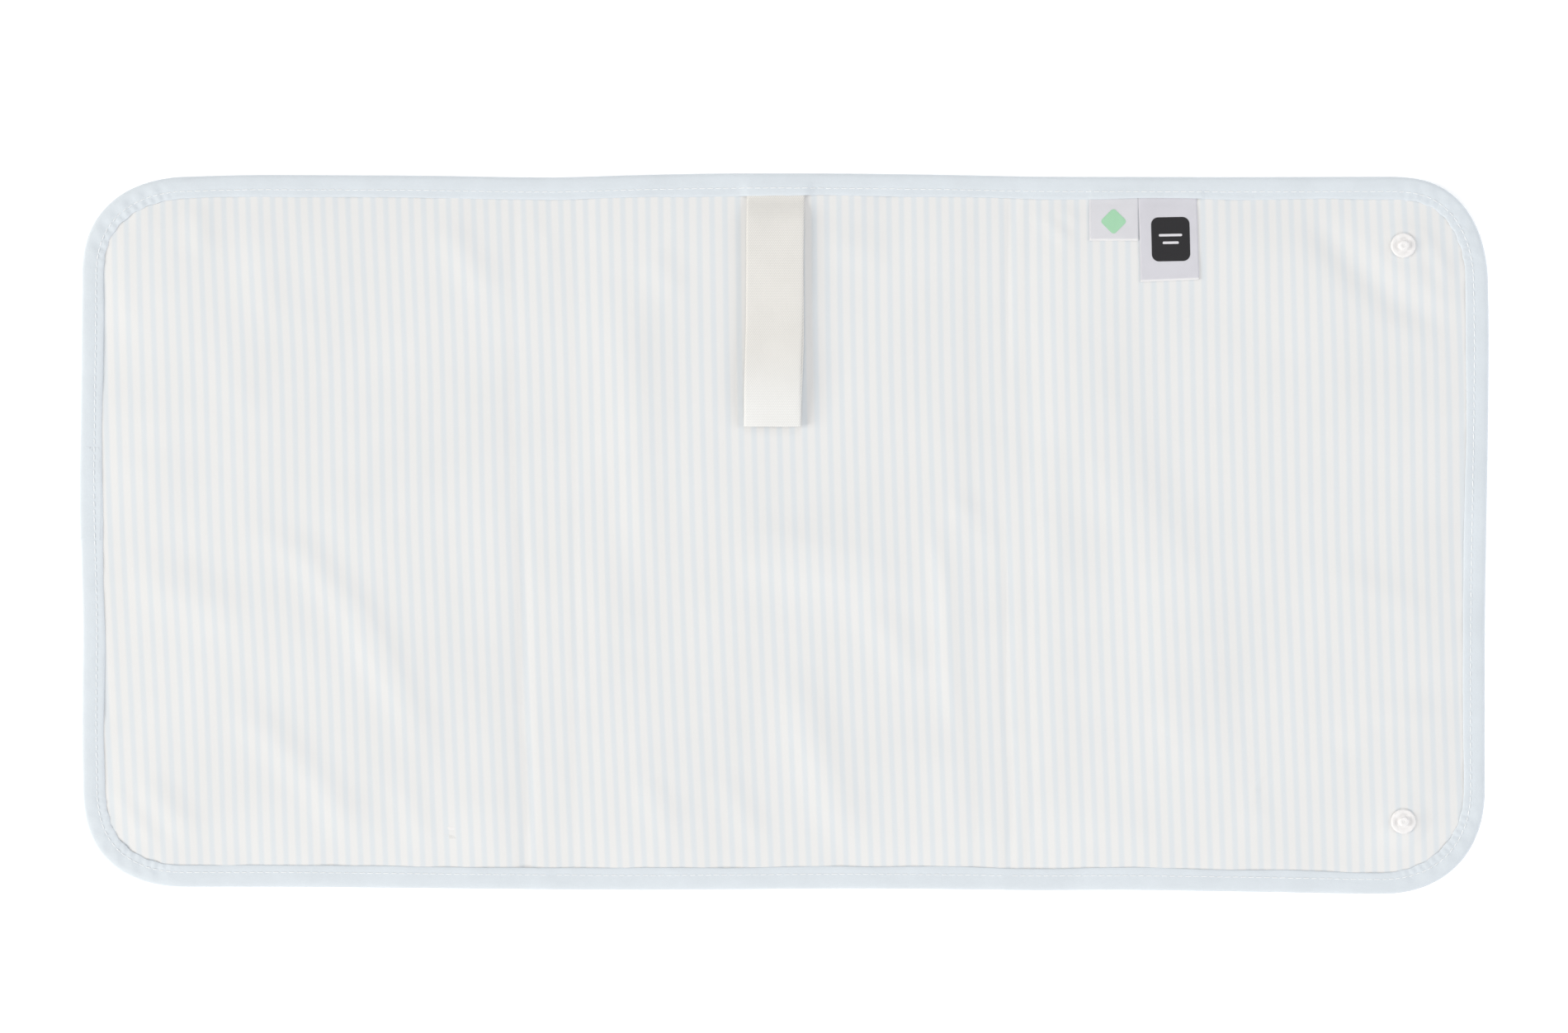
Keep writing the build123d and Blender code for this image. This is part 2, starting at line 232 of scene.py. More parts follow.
def warp(x, y):
    """Nominal sheet coordinates to the pad's own slightly uneven outline."""
    top, bottom = edge_top(x), edge_bottom(x)
    left, right = edge_left(y), edge_right(y)
    over_x, over_y = np.maximum(np.abs(x) - CORE_X, 0), np.maximum(np.abs(y) - CORE_Y, 0)
    reach = np.hypot(over_x, over_y)
    turn = np.arctan2(over_y, np.maximum(over_x, 1e-9))
    turn = np.clip(turn + per_corner(x, y, CORNER_LEAN) * np.sin(2 * turn), 0, math.pi / 2)
    push = per_corner(x, y, CORNER_PUSH) * np.sin(2 * turn) ** 2 * smooth(reach / CORNER_R)
    push = push / np.maximum(reach, 1e-9)
    wx = left + (x / HALF_X + 1) / 2 * (right - left) + push * over_x * np.sign(x)
    wy = bottom + (y / HALF_Y + 1) / 2 * (top - bottom) + push * over_y * np.sign(y)
    return wx * TAPE_SPREAD, (wy - CAMERA_Y) * TAPE_SPREAD + CAMERA_Y


def inset(x, y):
    """How far a nominal point lies inside the outer edge."""
    qx, qy = np.abs(x) - CORE_X, np.abs(y) - CORE_Y
    outside = np.hypot(np.maximum(qx, 0), np.maximum(qy, 0))
    return CORNER_R - (outside + np.minimum(np.maximum(qx, qy), 0))


# ---------------------------------------------------------------- soft wrinkles by cloth simulation
SIM_STEP = 5.0
SIM_X, SIM_Y = 304, 150  # half size of the simulated sheet
SIM_SCALE = 0.01  # ten times life size in metres, where the solver's tolerances are fine
SIM_FRAMES = 24
SIM_GAIN = 0.13  # share of the simulated movement that is used
wrinkle_start = waves(11, 18, 28, 90)


def hold_weights(x, y):
    """How firmly each point is held: fully at the binding and snaps, partly at the folds."""
    hold = np.where(inset(x, y) < 13, 1.0, 0.035)
    for line in (LEFT_INNER, LEFT_OUTER, RIGHT_INNER, RIGHT_OUTER):
        hold = np.maximum(hold, 0.25 * bell(x - line, 5.0))
    for place in [*STUDS.values(), *SOCKETS.values()]:
        distance = np.hypot(x - place[0], y - place[1])
        hold = np.maximum(hold, np.exp(-((distance / 7.0) ** 4)))
    return np.round(hold, 3).tolist()


def blur(grid):
    kernel = np.array([1, 4, 6, 4, 1], float) / 16

    def soften(line):
        return np.convolve(np.pad(line, 2, mode="edge"), kernel, "valid")

    return np.apply_along_axis(soften, 1, np.apply_along_axis(soften, 0, grid))


def simulate_cover():
    """Lets a slightly loose sheet, held at its edge and folds, settle on springy wadding.
    Returns how far each grid point moved up or down."""
    nx, ny = int(2 * SIM_X / SIM_STEP) + 1, int(2 * SIM_Y / SIM_STEP) + 1
    X, Y = np.meshgrid(np.linspace(-SIM_X, SIM_X, nx), np.linspace(-SIM_Y, SIM_Y, ny))
    rng = np.random.RandomState(7)
    Z = 0.35 * wrinkle_start(X, Y) + 0.05 * rng.uniform(-1, 1, X.shape)
    verts = np.c_[X.ravel(), Y.ravel(), Z.ravel()] * SIM_SCALE
    mesh = bpy.data.meshes.new("cover_sim")
    mesh.from_pydata(verts.tolist(), [], grid_quads(ny, nx).tolist())
    sheet = bpy.data.objects.new("cover_sim", mesh)
    scene.collection.objects.link(sheet)
    group = sheet.vertex_groups.new(name="hold")
    for i, weight in enumerate(hold_weights(X.ravel(), Y.ravel())):
        group.add([i], weight, "REPLACE")
    cloth = sheet.modifiers.new("cloth", "CLOTH")
    settings = cloth.settings
    settings.quality = 6
    settings.mass = 0.25
    settings.tension_stiffness = 25
    settings.compression_stiffness = 25
    settings.shear_stiffness = 12
    settings.bending_stiffness = 0.6
    settings.vertex_group_mass = "hold"
    settings.pin_stiffness = 0.6
    settings.shrink_min = -0.012
    settings.effector_weights.gravity = 0.0
    cloth.collision_settings.use_collision = False
    cloth.collision_settings.use_self_collision = False
    cloth.point_cache.frame_start = 1
    cloth.point_cache.frame_end = SIM_FRAMES
    for number in range(1, SIM_FRAMES + 1):
        scene.frame_set(number)
    settled = sheet.evaluated_get(bpy.context.evaluated_depsgraph_get())
    places = np.zeros(nx * ny * 3)
    settled.data.vertices.foreach_get("co", places)
    moved = places.reshape(-1, 3)[:, 2].reshape(ny, nx) / SIM_SCALE
    bpy.data.objects.remove(sheet)
    bpy.data.meshes.remove(mesh)
    scene.frame_set(1)
    return blur(moved)


def grid_quads(rows, cols):
    idx = np.arange(rows * cols).reshape(rows, cols)
    corners = (idx[:-1, :-1], idx[:-1, 1:], idx[1:, 1:], idx[1:, :-1])
    return np.stack([corner.ravel() for corner in corners], -1)


loose = simulate_cover()


def cloth_height(x, y):
    if loose is None:
        return 0.22 * wrinkle_start(x, y)
    ny, nx = loose.shape
    u = np.clip((x + SIM_X) / SIM_STEP, 0, nx - 1.001)
    v = np.clip((y + SIM_Y) / SIM_STEP, 0, ny - 1.001)
    i, j = u.astype(int), v.astype(int)
    a, b = smooth(u - i), smooth(v - j)
    low = loose[j, i] * (1 - a) + loose[j, i + 1] * a
    high = loose[j + 1, i] * (1 - a) + loose[j + 1, i + 1] * a
    return (low * (1 - b) + high * b) * SIM_GAIN


# ---------------------------------------------------------------- heights of the face and the backing
# soft folds in the face: the line along the shaded side, height (negative: a valley), width
FOLDS = [
    ([(118, 78), (124, 20), (128, -40)], 0.3, 14),
    ([(283, 141), (296, 124), (303, 108)], 0.35, 4.5),
    ([(-292, 52), (-262, 60), (-233, 74)], 0.3, 10),
    ([(-242, 10), (-210, -6), (-185, -33), (-172, -58), (-149, -101)], 0.62, 8.5),
    ([(-249, -72), (-226, -85), (-199, -113), (-181, -138)], 0.55, 8.5),
    ([(-295, -13), (-267, -18), (-233, -35)], 0.42, 11),
    ([(-91, 62), (-94, -17), (-92, -128)], -0.16, 1.5),
    ([(-112, 147), (-103, 131), (-100, 114)], 0.42, 4.5),
    ([(-110, -74), (-107, -97)], 0.3, 4.5),
    ([(-100, -101), (-96, -116)], 0.25, 3.5),
    ([(70, 8), (75, -26), (77, -63), (80, -97)], 0.42, 4.5),
    ([(75, 20), (90, 12), (100, -10)], 0.62, 7.0),
    ([(-26, 6), (10, -3), (42, -9), (64, -23)], 0.75, 14),
    ([(8, -53), (21, -94), (41, -144)], 0.62, 11),
    ([(35, -24), (53, -42), (65, -65)], 0.45, 9),
    ([(-63, 115), (-59, 47), (-53, -31)], 0.48, 10),
    ([(135, 101), (162, 33), (187, -22), (196, -90), (185, -139)], 0.8, 17),
    ([(235, 149), (256, 127), (277, 109), (307, 95)], -0.85, 8),
    ([(268, 146), (290, 124), (305, 106)], -0.2, 4.5),
    ([(108, 148), (120, 141), (133, 129)], 0.34, 3.6),
    ([(118, 150), (130, 144), (134, 137)], 0.24, 3.0),
    ([(-260, 153), (-256, 124)], 0.36, 5.5),
    ([(-298, 140), (-291, 110), (-280, 81)], 0.22, 9),
    ([(-233, 147), (-221, 92)], 0.3, 9),
    ([(-148, 142), (-135, 122), (-123, 111)], 0.45, 8),
    ([(243, -93), (260, -76), (294, -71)], 0.55, 9),
    ([(200, -131), (209, -117), (223, -130)], 0.32, 6),
    ([(-287, -106), (-257, -132)], 0.42, 7),
    ([(-304, -108), (-276, -139)], 0.3, 5),
    ([(-60, -106), (-43, -134)], 0.34, 7),
    ([(-26, -103), (-4, -139)], 0.34, 7),
    ([(-57, 128), (-42, 109)], 0.36, 7),
    ([(244, -10), (294, -33)], 0.26, 8),
    ([(19, 137), (42, 131), (46, 115)], 0.3, 8),
    ([(-167, -108), (-154, -140)], 0.3, 7),
]
FOLD_GAIN = 2.05
FOLD_CREST = 0.7  # from the shaded line to the crest, in widths
FOLD_TROUGH, FOLD_TROUGH_WIDTH = 0.28, 2.3  # shallow dip round the crest: share and width ratio

FACE_EDGE_Z, FACE_PUFF = 2.46, 1.9  # face height at the binding, and how far a panel swells
FACE_ROOF = 5.62  # the face is eased off to stay under this
ROOF_DROP_RIGHT = 0.32  # lower over the right panel
ROOF_DROP_LOOP = 0.62  # and lower under the hanging loop
ROOF_EASE = 0.35

broad = waves(3, 14, 90, 260)
back_soft = waves(21, 22, 26, 110)
line_wobble = along(31, 6, 60, 200)
pucker_across = waves(41, 10, 12, 30)
pucker_up = waves(42, 10, 12, 30)


def crease_amount(x, y):
    """1 in the fold strips, 0 in the padded panels."""
    left = ramp(x, LEFT_OUTER - 17.0, 16.0) * (1 - ramp(x, LEFT_INNER, 17.0))
    right = ramp(x, RIGHT_INNER - 16.0, 16.0) * (1 - ramp(x, RIGHT_OUTER, 16.0))
    return np.maximum(left, right)


def press_lines(x, y):
    """Fine pressed creases near the four folds, some deeper towards the -y or +y end."""
    wobble = 0.6 * line_wobble(y)
    low = 1 - ramp(y, -30, 60)
    high = ramp(y, 60, 40)
    left_line = LEFT_OUTER - 1.2 - 5.0 * ramp(y, -60, 150) + wobble
    right_line = 100.4 - 2.6 * bell(y - 8, 26) + wobble
    # depth, x of the line, width
    lines = (
        (0.13, LEFT_INNER + 0.9, 0.8),
        (0.16 + 0.34 * low, left_line, 2.0 + 0.8 * low),
        (0.10 + 0.30 * low + 0.34 * high, right_line, 2.4),
        (0.14, RIGHT_OUTER + 1.2 + wobble, 1.9),
        (0.10, RIGHT_INNER - 6 + wobble, 2.0),
    )
    return -sum(depth * bell(x - line, width) for depth, line, width in lines)


def snap_dimple(x, y, places, inner, outer):
    """1 within the inner radius of any place, 0 beyond the outer."""
    out = np.zeros(np.shape(x))
    for place in places.values():
        distance = np.hypot(x - place[0], y - place[1])
        out = np.maximum(out, 1 - ramp(distance, inner, outer - inner))
    return out


def edge_pucker(x, y, inward):
    """Small gathers where the cover runs in under the binding, stronger round the corners."""
    ax, ay = np.abs(x), np.abs(y)
    corner = ramp(ax, 250, 40) * ramp(ay, 100, 35)
    turn = np.arctan2(ay - CORE_Y, ax - CORE_X)
    ripple = np.sin(turn * 15 + 0.8 * np.sin(turn * 5)) * corner * 0.16
    across = pucker_across(x, y * 0.2) * ramp(ay, 120, 20)
    up = pucker_up(x * 0.2, y) * ramp(ax, 275, 20)
    side = 0.09 * (across + up) * (1 - corner)
    return (ripple + side) * np.exp(-np.maximum(inward - 9.5, 0) / 7.0)


def soft_folds(x, y):
    total = 0.0
    for points, height, width in FOLDS:
        distance, share = to_line(x, y, points)
        run_x, run_y = points[-1][0] - points[0][0], points[-1][1] - points[0][1]
        # the crest or bottom lies to one side of the shaded line; a narrow one lies on it
        if width < 2:
            side = 0.0
        elif height > 0:
            side = math.copysign(1.0, 0.6 * run_x - run_y)
        else:
            side = -math.copysign(1.0, run_y + 0.6 * run_x)
        taper = smooth(share * 4) * smooth((1 - share) * 3.5)
        crest = distance + side * FOLD_CREST * width
        shape = bell(crest, width) - FOLD_TROUGH * bell(crest, FOLD_TROUGH_WIDTH * width)
        total = total + FOLD_GAIN * height * shape * taper
    return total


def face_top(nominal_x, nominal_y):
    """Top of the printed face over a nominal point."""
    x, y = warp(nominal_x, nominal_y)
    inward = inset(nominal_x, nominal_y)
    crease = crease_amount(x, y)
    puff = 1 - (1 - np.clip((inward - 8.8) / 30.0, 0, 1)) ** 1.8
    z = FACE_EDGE_Z + FACE_PUFF * puff * (1 - 0.33 * crease)
    soft = 0.13 * broad(x, y) + cloth_height(x, y) * 0.55 + soft_folds(x, y)
    dimple = snap_dimple(x, y, STUDS, 6.0, 12.5)
    z = z + soft * ramp(inward, 9, 12) * (1 - 0.75 * crease) * (1 - dimple)
    z = z + 1.1 * press_lines(x, y) * ramp(inward, 6, 8) + edge_pucker(x, y, inward)
    under_loop = ramp(x, -22, 5) * (1 - ramp(x, 13, 5)) * ramp(y, 38, 8)
    roof = FACE_ROOF - ROOF_DROP_RIGHT * ramp(x, 108, 12) - ROOF_DROP_LOOP * under_loop
    eased = roof - ROOF_EASE * np.exp(-(z - roof + ROOF_EASE) / ROOF_EASE)
    z = np.where(z > roof - ROOF_EASE, eased, z)
    return np.where(dimple > 0, z * (1 - dimple) + (STUD_FLOOR - 0.03) * dimple, z)


def back_bottom(nominal_x, nominal_y):
    """Underside of the backing over a nominal point."""
    x, y = warp(nominal_x, nominal_y)
    inward = inset(nominal_x, nominal_y)
    z = 0.04 + 0.92 * (1 - np.clip((inward - 8.5) / 22.0, 0, 1)) ** 1.8
    crease = crease_amount(x, y)
    z = np.maximum(z, z * (1 - crease) + 0.72 * crease)
    z = z + 0.10 * np.maximum(back_soft(x, y), 0) * ramp(inward, 10, 10)
    caps = snap_dimple(x, y, STUDS, 6.9, 12.5)
    sockets = snap_dimple(x, y, SOCKETS, 6.6, 12.5)
    z = z * (1 - caps) + 1.28 * caps
    return z * (1 - sockets) + (SOCKET_FLOOR + 0.02) * sockets


# ---------------------------------------------------------------- mesh helpers
def new_piece(name, verts, faces, mat, values=None, sharp=None):
    """A smooth mesh object from millimetre verts, with per-point values and sharp edges."""
    mesh = bpy.data.meshes.new(name)
    mesh.from_pydata((np.asarray(verts, float) * MM).tolist(), [], faces)
    mesh.polygons.foreach_set("use_smooth", [True] * len(mesh.polygons))
    rest = mesh.attributes.new("rest_mm", "FLOAT_VECTOR", "POINT")
    rest.data.foreach_set("vector", np.asarray(verts, np.float32).ravel())
    for key, numbers in (values or {}).items():
        attribute = mesh.attributes.new(key, "FLOAT", "POINT")
        attribute.data.foreach_set("value", np.asarray(numbers, np.float32).ravel())
    if sharp is not None:
        pairs = {tuple(sorted(pair)) for pair in sharp.tolist()}
        ends = np.zeros(len(mesh.edges) * 2, int)
        mesh.edges.foreach_get("vertices", ends)
        flags = [tuple(sorted(pair)) in pairs for pair in ends.reshape(-1, 2).tolist()]
        attributes = mesh.attributes
        attribute = attributes.get("sharp_edge") or attributes.new("sharp_edge", "BOOLEAN", "EDGE")
        attribute.data.foreach_set("value", flags)
    mesh.update()
    piece = bpy.data.objects.new(name, mesh)
    scene.collection.objects.link(piece)
    mesh.materials.append(mat)
    return piece


def face_outwards(piece):
    edit = bmesh.new()
    edit.from_mesh(piece.data)
    bmesh.ops.recalc_face_normals(edit, faces=edit.faces)
    edit.to_mesh(piece.data)
    edit.free()


def ring_pairs(ring):
    return np.c_[ring, np.roll(ring, -1)]


def grid_shell(top, bottom):
    """A closed thin shell from two point grids of the same shape: verts, faces, rim edges."""
    rows, cols = top.shape[:2]
    count = rows * cols
    idx = np.arange(count).reshape(rows, cols)
    quads = grid_quads(rows, cols)
    pairs = ring_pairs(np.concatenate([idx[0], idx[1:, -1], idx[-1, -2::-1], idx[-2:0:-1, 0]]))
    first, second = pairs.T
    rim = np.c_[first, first + count, second + count, second]
    faces = np.vstack([quads, quads[:, ::-1] + count, rim]).tolist()
    verts = np.vstack([top.reshape(-1, 3), bottom.reshape(-1, 3)])
    return verts, faces, np.vstack([pairs, pairs + count])


def height_shell(x, y, top, bottom):
    return grid_shell(np.stack([x, y, top], -1), np.stack([x, y, bottom], -1))


def sheet_rows(edge_in, step):
    half_y, radius = HALF_Y - edge_in, CORNER_R - edge_in
    flat = np.arange(0, half_y - radius, step)
    arc = (half_y - radius) + radius * np.sin(np.linspace(0, math.pi / 2, 24))
    half = np.r_[flat, arc]
    return np.r_[-half[::-1], half[1:]]


def sheet_edge(y, edge_in):
    """Half length of the nominal sheet at height y."""
    half_x, half_y, radius = HALF_X - edge_in, HALF_Y - edge_in, CORNER_R - edge_in
    over = np.maximum(np.abs(y) - (half_y - radius), 0)
    return half_x - radius + np.sqrt(np.maximum(radius * radius - over**2, 0))


def sheet_grid(x0, x1, edge_in, step):
    """Nominal grids for the sheet between two lines; None means out to the end of the pad."""
    y = sheet_rows(edge_in, step)
    low = -sheet_edge(y, edge_in) if x0 is None else np.full_like(y, x0)
    high = sheet_edge(y, edge_in) if x1 is None else np.full_like(y, x1)
    cols = int(round((high.max() - low.min()) / step)) + 1
    share = np.linspace(0, 1, cols)
    X = low[:, None] + share[None, :] * (high - low)[:, None]
    return X, np.repeat(y[:, None], cols, 1)


# ---------------------------------------------------------------- shader helpers
WHITE_LIGHT = 1.15  # how bright a white sheet lying flat is in this light


def seen(red, green, blue, gain=1.0):
    """Base colour that looks like the given sRGB (0 to 255) in this light."""

    def linear(value):
        return value / 255 / 12.92 if value <= 10 else ((value / 255 + 0.055) / 1.055) ** 2.4

    return tuple(linear(value) / WHITE_LIGHT * gain for value in (red, green, blue))


class Material:
    """A Principled material and short names for the nodes that feed it."""

    def __init__(self, name):
        self.data = bpy.data.materials.new(name)
        self.data.use_nodes = True
        self.tree = self.data.node_tree
        self.tree.nodes.clear()
        output = self.node("OutputMaterial")
        self.bsdf = self.node("BsdfPrincipled")
        self.tree.links.new(self.bsdf.outputs[0], output.inputs[0])

    def node(self, kind):
        return self.tree.nodes.new("ShaderNode" + kind)

    def put(self, socket, value):
        if isinstance(value, bpy.types.NodeSocket):
            self.tree.links.new(value, socket)
        elif socket.type == "RGBA":
            socket.default_value = (*value, 1.0)
        else:
            socket.default_value = value

    def finish(self, inputs):
        for name, value in inputs.items():
            self.put(self.bsdf.inputs[name], value)
        return self.data

    def math(self, operation, *values):
        node = self.node("Math")
        node.operation = operation
        for socket, value in zip(node.inputs, values):
            self.put(socket, value)
        return node.outputs[0]

    def attribute(self, name):
        node = self.node("Attribute")
        node.attribute_name = name
        return node.outputs

    def rest(self):
        """Place on the flat pad in millimetres."""
        return self.attribute("rest_mm")["Vector"]

    def value(self, name):
        return self.attribute(name)["Fac"]

    def xyz(self, vector):
        node = self.node("SeparateXYZ")
        self.put(node.inputs[0], vector)
        return tuple(node.outputs)

    def noise(self, vector, scale, detail=2.0, roughness=0.5):
        node = self.node("TexNoise")
        self.put(node.inputs["Vector"], vector)
        self.put(node.inputs["Scale"], scale)
        self.put(node.inputs["Detail"], detail)
        self.put(node.inputs["Roughness"], roughness)
        return node.outputs["Fac"]

    def ranged(self, value, start, end, low=0.0, high=1.0, kind="LINEAR"):
        node = self.node("MapRange")
        node.interpolation_type = kind
        for name, number in (
            ("Value", value), ("From Min", start), ("From Max", end),
            ("To Min", low), ("To Max", high),
        ):
            self.put(node.inputs[name], number)
        return node.outputs["Result"]

    def mottle(self, vector, scale, detail, low, high, roughness=0.5):
        """Noise stretched between two factors."""
        noise = self.noise(vector, scale, detail, roughness)
        return self.ranged(noise, start=0.3, end=0.7, low=low, high=high)

    def mix(self, factor, first, second):
        node = self.node("Mix")
        node.data_type = "RGBA"
        node.clamp_factor = True
        self.put(node.inputs[0], factor)
        self.put(node.inputs[6], first)
        self.put(node.inputs[7], second)
        return node.outputs[2]

    def tint(self, colour, *factors):
        """Colour times every factor."""
        product = factors[0]
        for factor in factors[1:]:
            product = self.math("MULTIPLY", product, factor)
        node = self.node("VectorMath")
        node.operation = "SCALE"
        self.put(node.inputs[0], colour)
        self.put(node.inputs["Scale"], product)
        return node.outputs[0]

    def bump(self, height, distance, strength, normal=None):
        node = self.node("Bump")
        self.put(node.inputs["Strength"], strength)
        self.put(node.inputs["Distance"], distance)
        self.put(node.inputs["Height"], height)
        if normal is not None:
            self.put(node.inputs["Normal"], normal)
        return node.outputs[0]

    def weighted(self, first, first_share, second, second_share):
        second = self.math("MULTIPLY", second, second_share)
        return self.math("MULTIPLY_ADD", first, first_share, second)

    def ribs(self, place, period):
        """A sine along a place in millimetres, -1 to 1."""
        return self.math("SINE", self.math("MULTIPLY", place, 2 * math.pi / period))

    def twill(self, x, y):
        return self.ribs(self.math("ADD", x, self.math("MULTIPLY", y, 1.15)), period=0.85)

    def weave(self, x, y, period, angle=0.0):
        """A plain weave: raised where a thread crosses over, 0 to 1."""
        ca, sa = math.cos(angle), math.sin(angle)

        def threads(x_share, y_share):
            along_x = self.math("MULTIPLY", x, x_share)
            place = self.math("ADD", along_x, self.math("MULTIPLY", y, y_share))
            return self.ribs(place, period)

        crossing = self.math("MULTIPLY", threads(ca, sa), threads(-sa, ca))
        return self.math("MULTIPLY_ADD", crossing, 0.5, 0.5)


# ---------------------------------------------------------------- materials (bump distances in metres)
def printed_cotton():
    mat = Material("printed_cotton")
    rest = mat.rest()
    x, y, _ = mat.xyz(rest)
    # the attribute counts stripes; its fraction is the place across one, with a ragged edge
    edge_noise = mat.math("SUBTRACT", mat.noise(rest, scale=1.6), 0.5)
    ragged = mat.math("MULTIPLY", edge_noise, 0.035)
    across = mat.math("FRACT", mat.math("ADD", mat.value("stripe"), ragged))
    from_middle = mat.math("ABSOLUTE", mat.math("SUBTRACT", across, 0.5))
    stripe = mat.ranged(from_middle, start=0.345, end=0.085, kind="SMOOTHSTEP")
    cream = seen(240.5, 240.0, 239.2)
    blue = seen(229.5, 234.2, 238)
    colour = mat.mix(stripe, cream, blue)
    # the print is a shade uneven, and the yarns show through the lamination
    cloud = mat.mottle(rest, scale=0.018, detail=3.0, roughness=0.55, low=0.984, high=1.012)
    weave = mat.weave(x, y, period=0.62)
    slub = mat.noise(rest, scale=2.4, detail=3.0, roughness=0.6)
    yarn_mix = mat.weighted(weave, 0.5, slub, 0.5)
    yarn = mat.ranged(yarn_mix, start=0.2, end=0.8, low=0.975, high=1.012)
    gloss = mat.noise(rest, scale=0.05, detail=3.0)
    fine = mat.bump(mat.weighted(weave, 0.6, slub, 0.8), distance=0.00003, strength=0.5)
    crumple = mat.noise(rest, scale=0.075, detail=5.0, roughness=0.62)
    return mat.finish({
        "Base Color": mat.tint(colour, cloud, yarn),
        "Roughness": mat.ranged(
            gloss, start=0.3, end=0.7, low=0.44, high=0.56, kind="SMOOTHSTEP"
        ),
        "Specular IOR Level": 0.32,
        "Sheen Weight": 0.06,
        "Sheen Roughness": 0.5,
        "Normal": mat.bump(crumple, distance=0.0009, strength=0.15, normal=fine),
    })


def plain_backing():
    mat = Material("plain_backing")
    rest = mat.rest()
    x, y, _ = mat.xyz(rest)
    weave = mat.weave(x, y, period=0.9)
    slub = mat.noise(rest, scale=1.3, detail=4.0, roughness=0.65)
    coarse = mat.noise(mat.rest(), scale=0.35)
    yarn_mix = mat.weighted(weave, 0.45, slub, 0.55)
    yarn = mat.ranged(yarn_mix, start=0.15, end=0.85, low=0.93, high=1.03)
    cloud = mat.mottle(rest, scale=0.02, detail=3.0, low=0.975, high=1.01)
    grain = mat.ranged(coarse, start=0.3, end=0.7, low=0.985, high=1.01)
    fine = mat.bump(mat.weighted(weave, 0.7, slub, 0.6), distance=0.00009, strength=0.7)
    crumple = mat.noise(rest, scale=0.09, detail=5.0, roughness=0.6)
    return mat.finish({
        "Base Color": mat.tint(seen(233, 235, 236), yarn, cloud, grain),
        "Roughness": 0.86,
        "Specular IOR Level": 0.2,
        "Sheen Weight": 0.12,
        "Normal": mat.bump(crumple, distance=0.0010, strength=0.25, normal=fine),
    })


def bias_tape():
    mat = Material("bias_tape")
    rest = mat.rest()
    x, y, _ = mat.xyz(rest)
    weave = mat.weave(x, y, period=0.55, angle=math.radians(45))
    slub = mat.noise(rest, scale=2.0, detail=4.0, roughness=0.65)
    yarn_mix = mat.weighted(weave, 0.45, slub, 0.55)
    yarn = mat.ranged(yarn_mix, start=0.15, end=0.85, low=0.95, high=1.03)
    cloud = mat.mottle(rest, scale=0.06, detail=4.0, roughness=0.6, low=0.965, high=1.02)
    # painted highlight: the tape is a touch paler along its folded edges
    painted_edge_highlight = mat.ranged(mat.value("edge"), start=0.0, end=1.0, low=1.0, high=1.045)
    fine = mat.bump(mat.weighted(weave, 0.7, slub, 0.5), distance=0.00006, strength=0.6)
    crumple = mat.noise(rest, scale=0.5, detail=3.0, roughness=0.55)
    return mat.finish({
        "Base Color": mat.tint(seen(226.5, 233.5, 239.5), yarn, cloud, painted_edge_highlight),
        "Roughness": 0.78,
        "Specular IOR Level": 0.22,
        "Sheen Weight": 0.15,
        "Normal": mat.bump(crumple, distance=0.0003, strength=0.3, normal=fine),
    })


def thread():
    mat = Material("thread")
    rest = mat.rest()
    x, y, _ = mat.xyz(rest)
    ply = mat.ribs(mat.math("ADD", x, y), period=0.34)
    tone = mat.ranged(ply, start=-1.0, end=1.0, low=0.93, high=1.02)
    fuzz = mat.mottle(rest, scale=5.0, detail=3.0, low=0.97, high=1.02)
    return mat.finish({
        "Base Color": mat.tint(seen(252, 254, 255, gain=1.05), tone, fuzz),
        "Roughness": 0.5,
        "Sheen Weight": 0.2,
        "Normal": mat.bump(ply, distance=0.00003, strength=0.3),
    })


def webbing():
    mat = Material("webbing")
    rest = mat.rest()
    slub = mat.noise(rest, scale=3.0, detail=4.0, roughness=0.65)
    _, y, _ = mat.xyz(rest)
    # painted shade in the low cells between the threads, painted highlight on the proud ones
    painted_cell_shade = mat.ranged(mat.value("cell"), start=-1.0, end=1.0, low=0.80, high=1.09)
    # painted highlight: paler towards the free end, where the lifted end catches the light
    painted_end_highlight = mat.ranged(y, start=88.0, end=54.0, kind="SMOOTHSTEP")
    fuzz = mat.ranged(slub, start=0.25, end=0.75, low=0.955, high=1.03)
    cloud = mat.mottle(rest, scale=0.06, detail=3.0, low=0.975, high=1.015)
    body = mat.mix(painted_end_highlight, seen(246.5, 244, 239), seen(255, 254.5, 252))
    return mat.finish({
        "Base Color": mat.tint(body, painted_cell_shade, fuzz, cloud),
        "Roughness": 0.72,
        "Specular IOR Level": 0.25,
        "Sheen Weight": 0.2,
        "Normal": mat.bump(slub, distance=0.00012, strength=0.5),
    })


def satin(name, colour):
    mat = Material(name)
    rest = mat.rest()
    x, y, _ = mat.xyz(rest)
    twill = mat.twill(x, y)
    fine = mat.ribs(y, period=0.4)
    tone = mat.ranged(
        mat.weighted(twill, 0.6, fine, 0.4), start=-1.0, end=1.0, low=0.975, high=1.012
    )
    cloud = mat.mottle(rest, scale=0.12, detail=3.0, low=0.975, high=1.02)
    body = mat.tint(colour, tone, cloud)
    relief = mat.math("MULTIPLY_ADD", twill, 0.6, fine)
    return mat.finish({
        "Base Color": mat.mix(mat.value("hem"), body, seen(246, 245, 246)),
        "Roughness": mat.ranged(twill, start=-1.0, end=1.0, low=0.32, high=0.42),
        "Specular IOR Level": 0.35,
        "Anisotropic": 0.4,
        "Sheen Weight": 0.15,
        "Normal": mat.bump(relief, distance=0.00004, strength=0.5),
    })


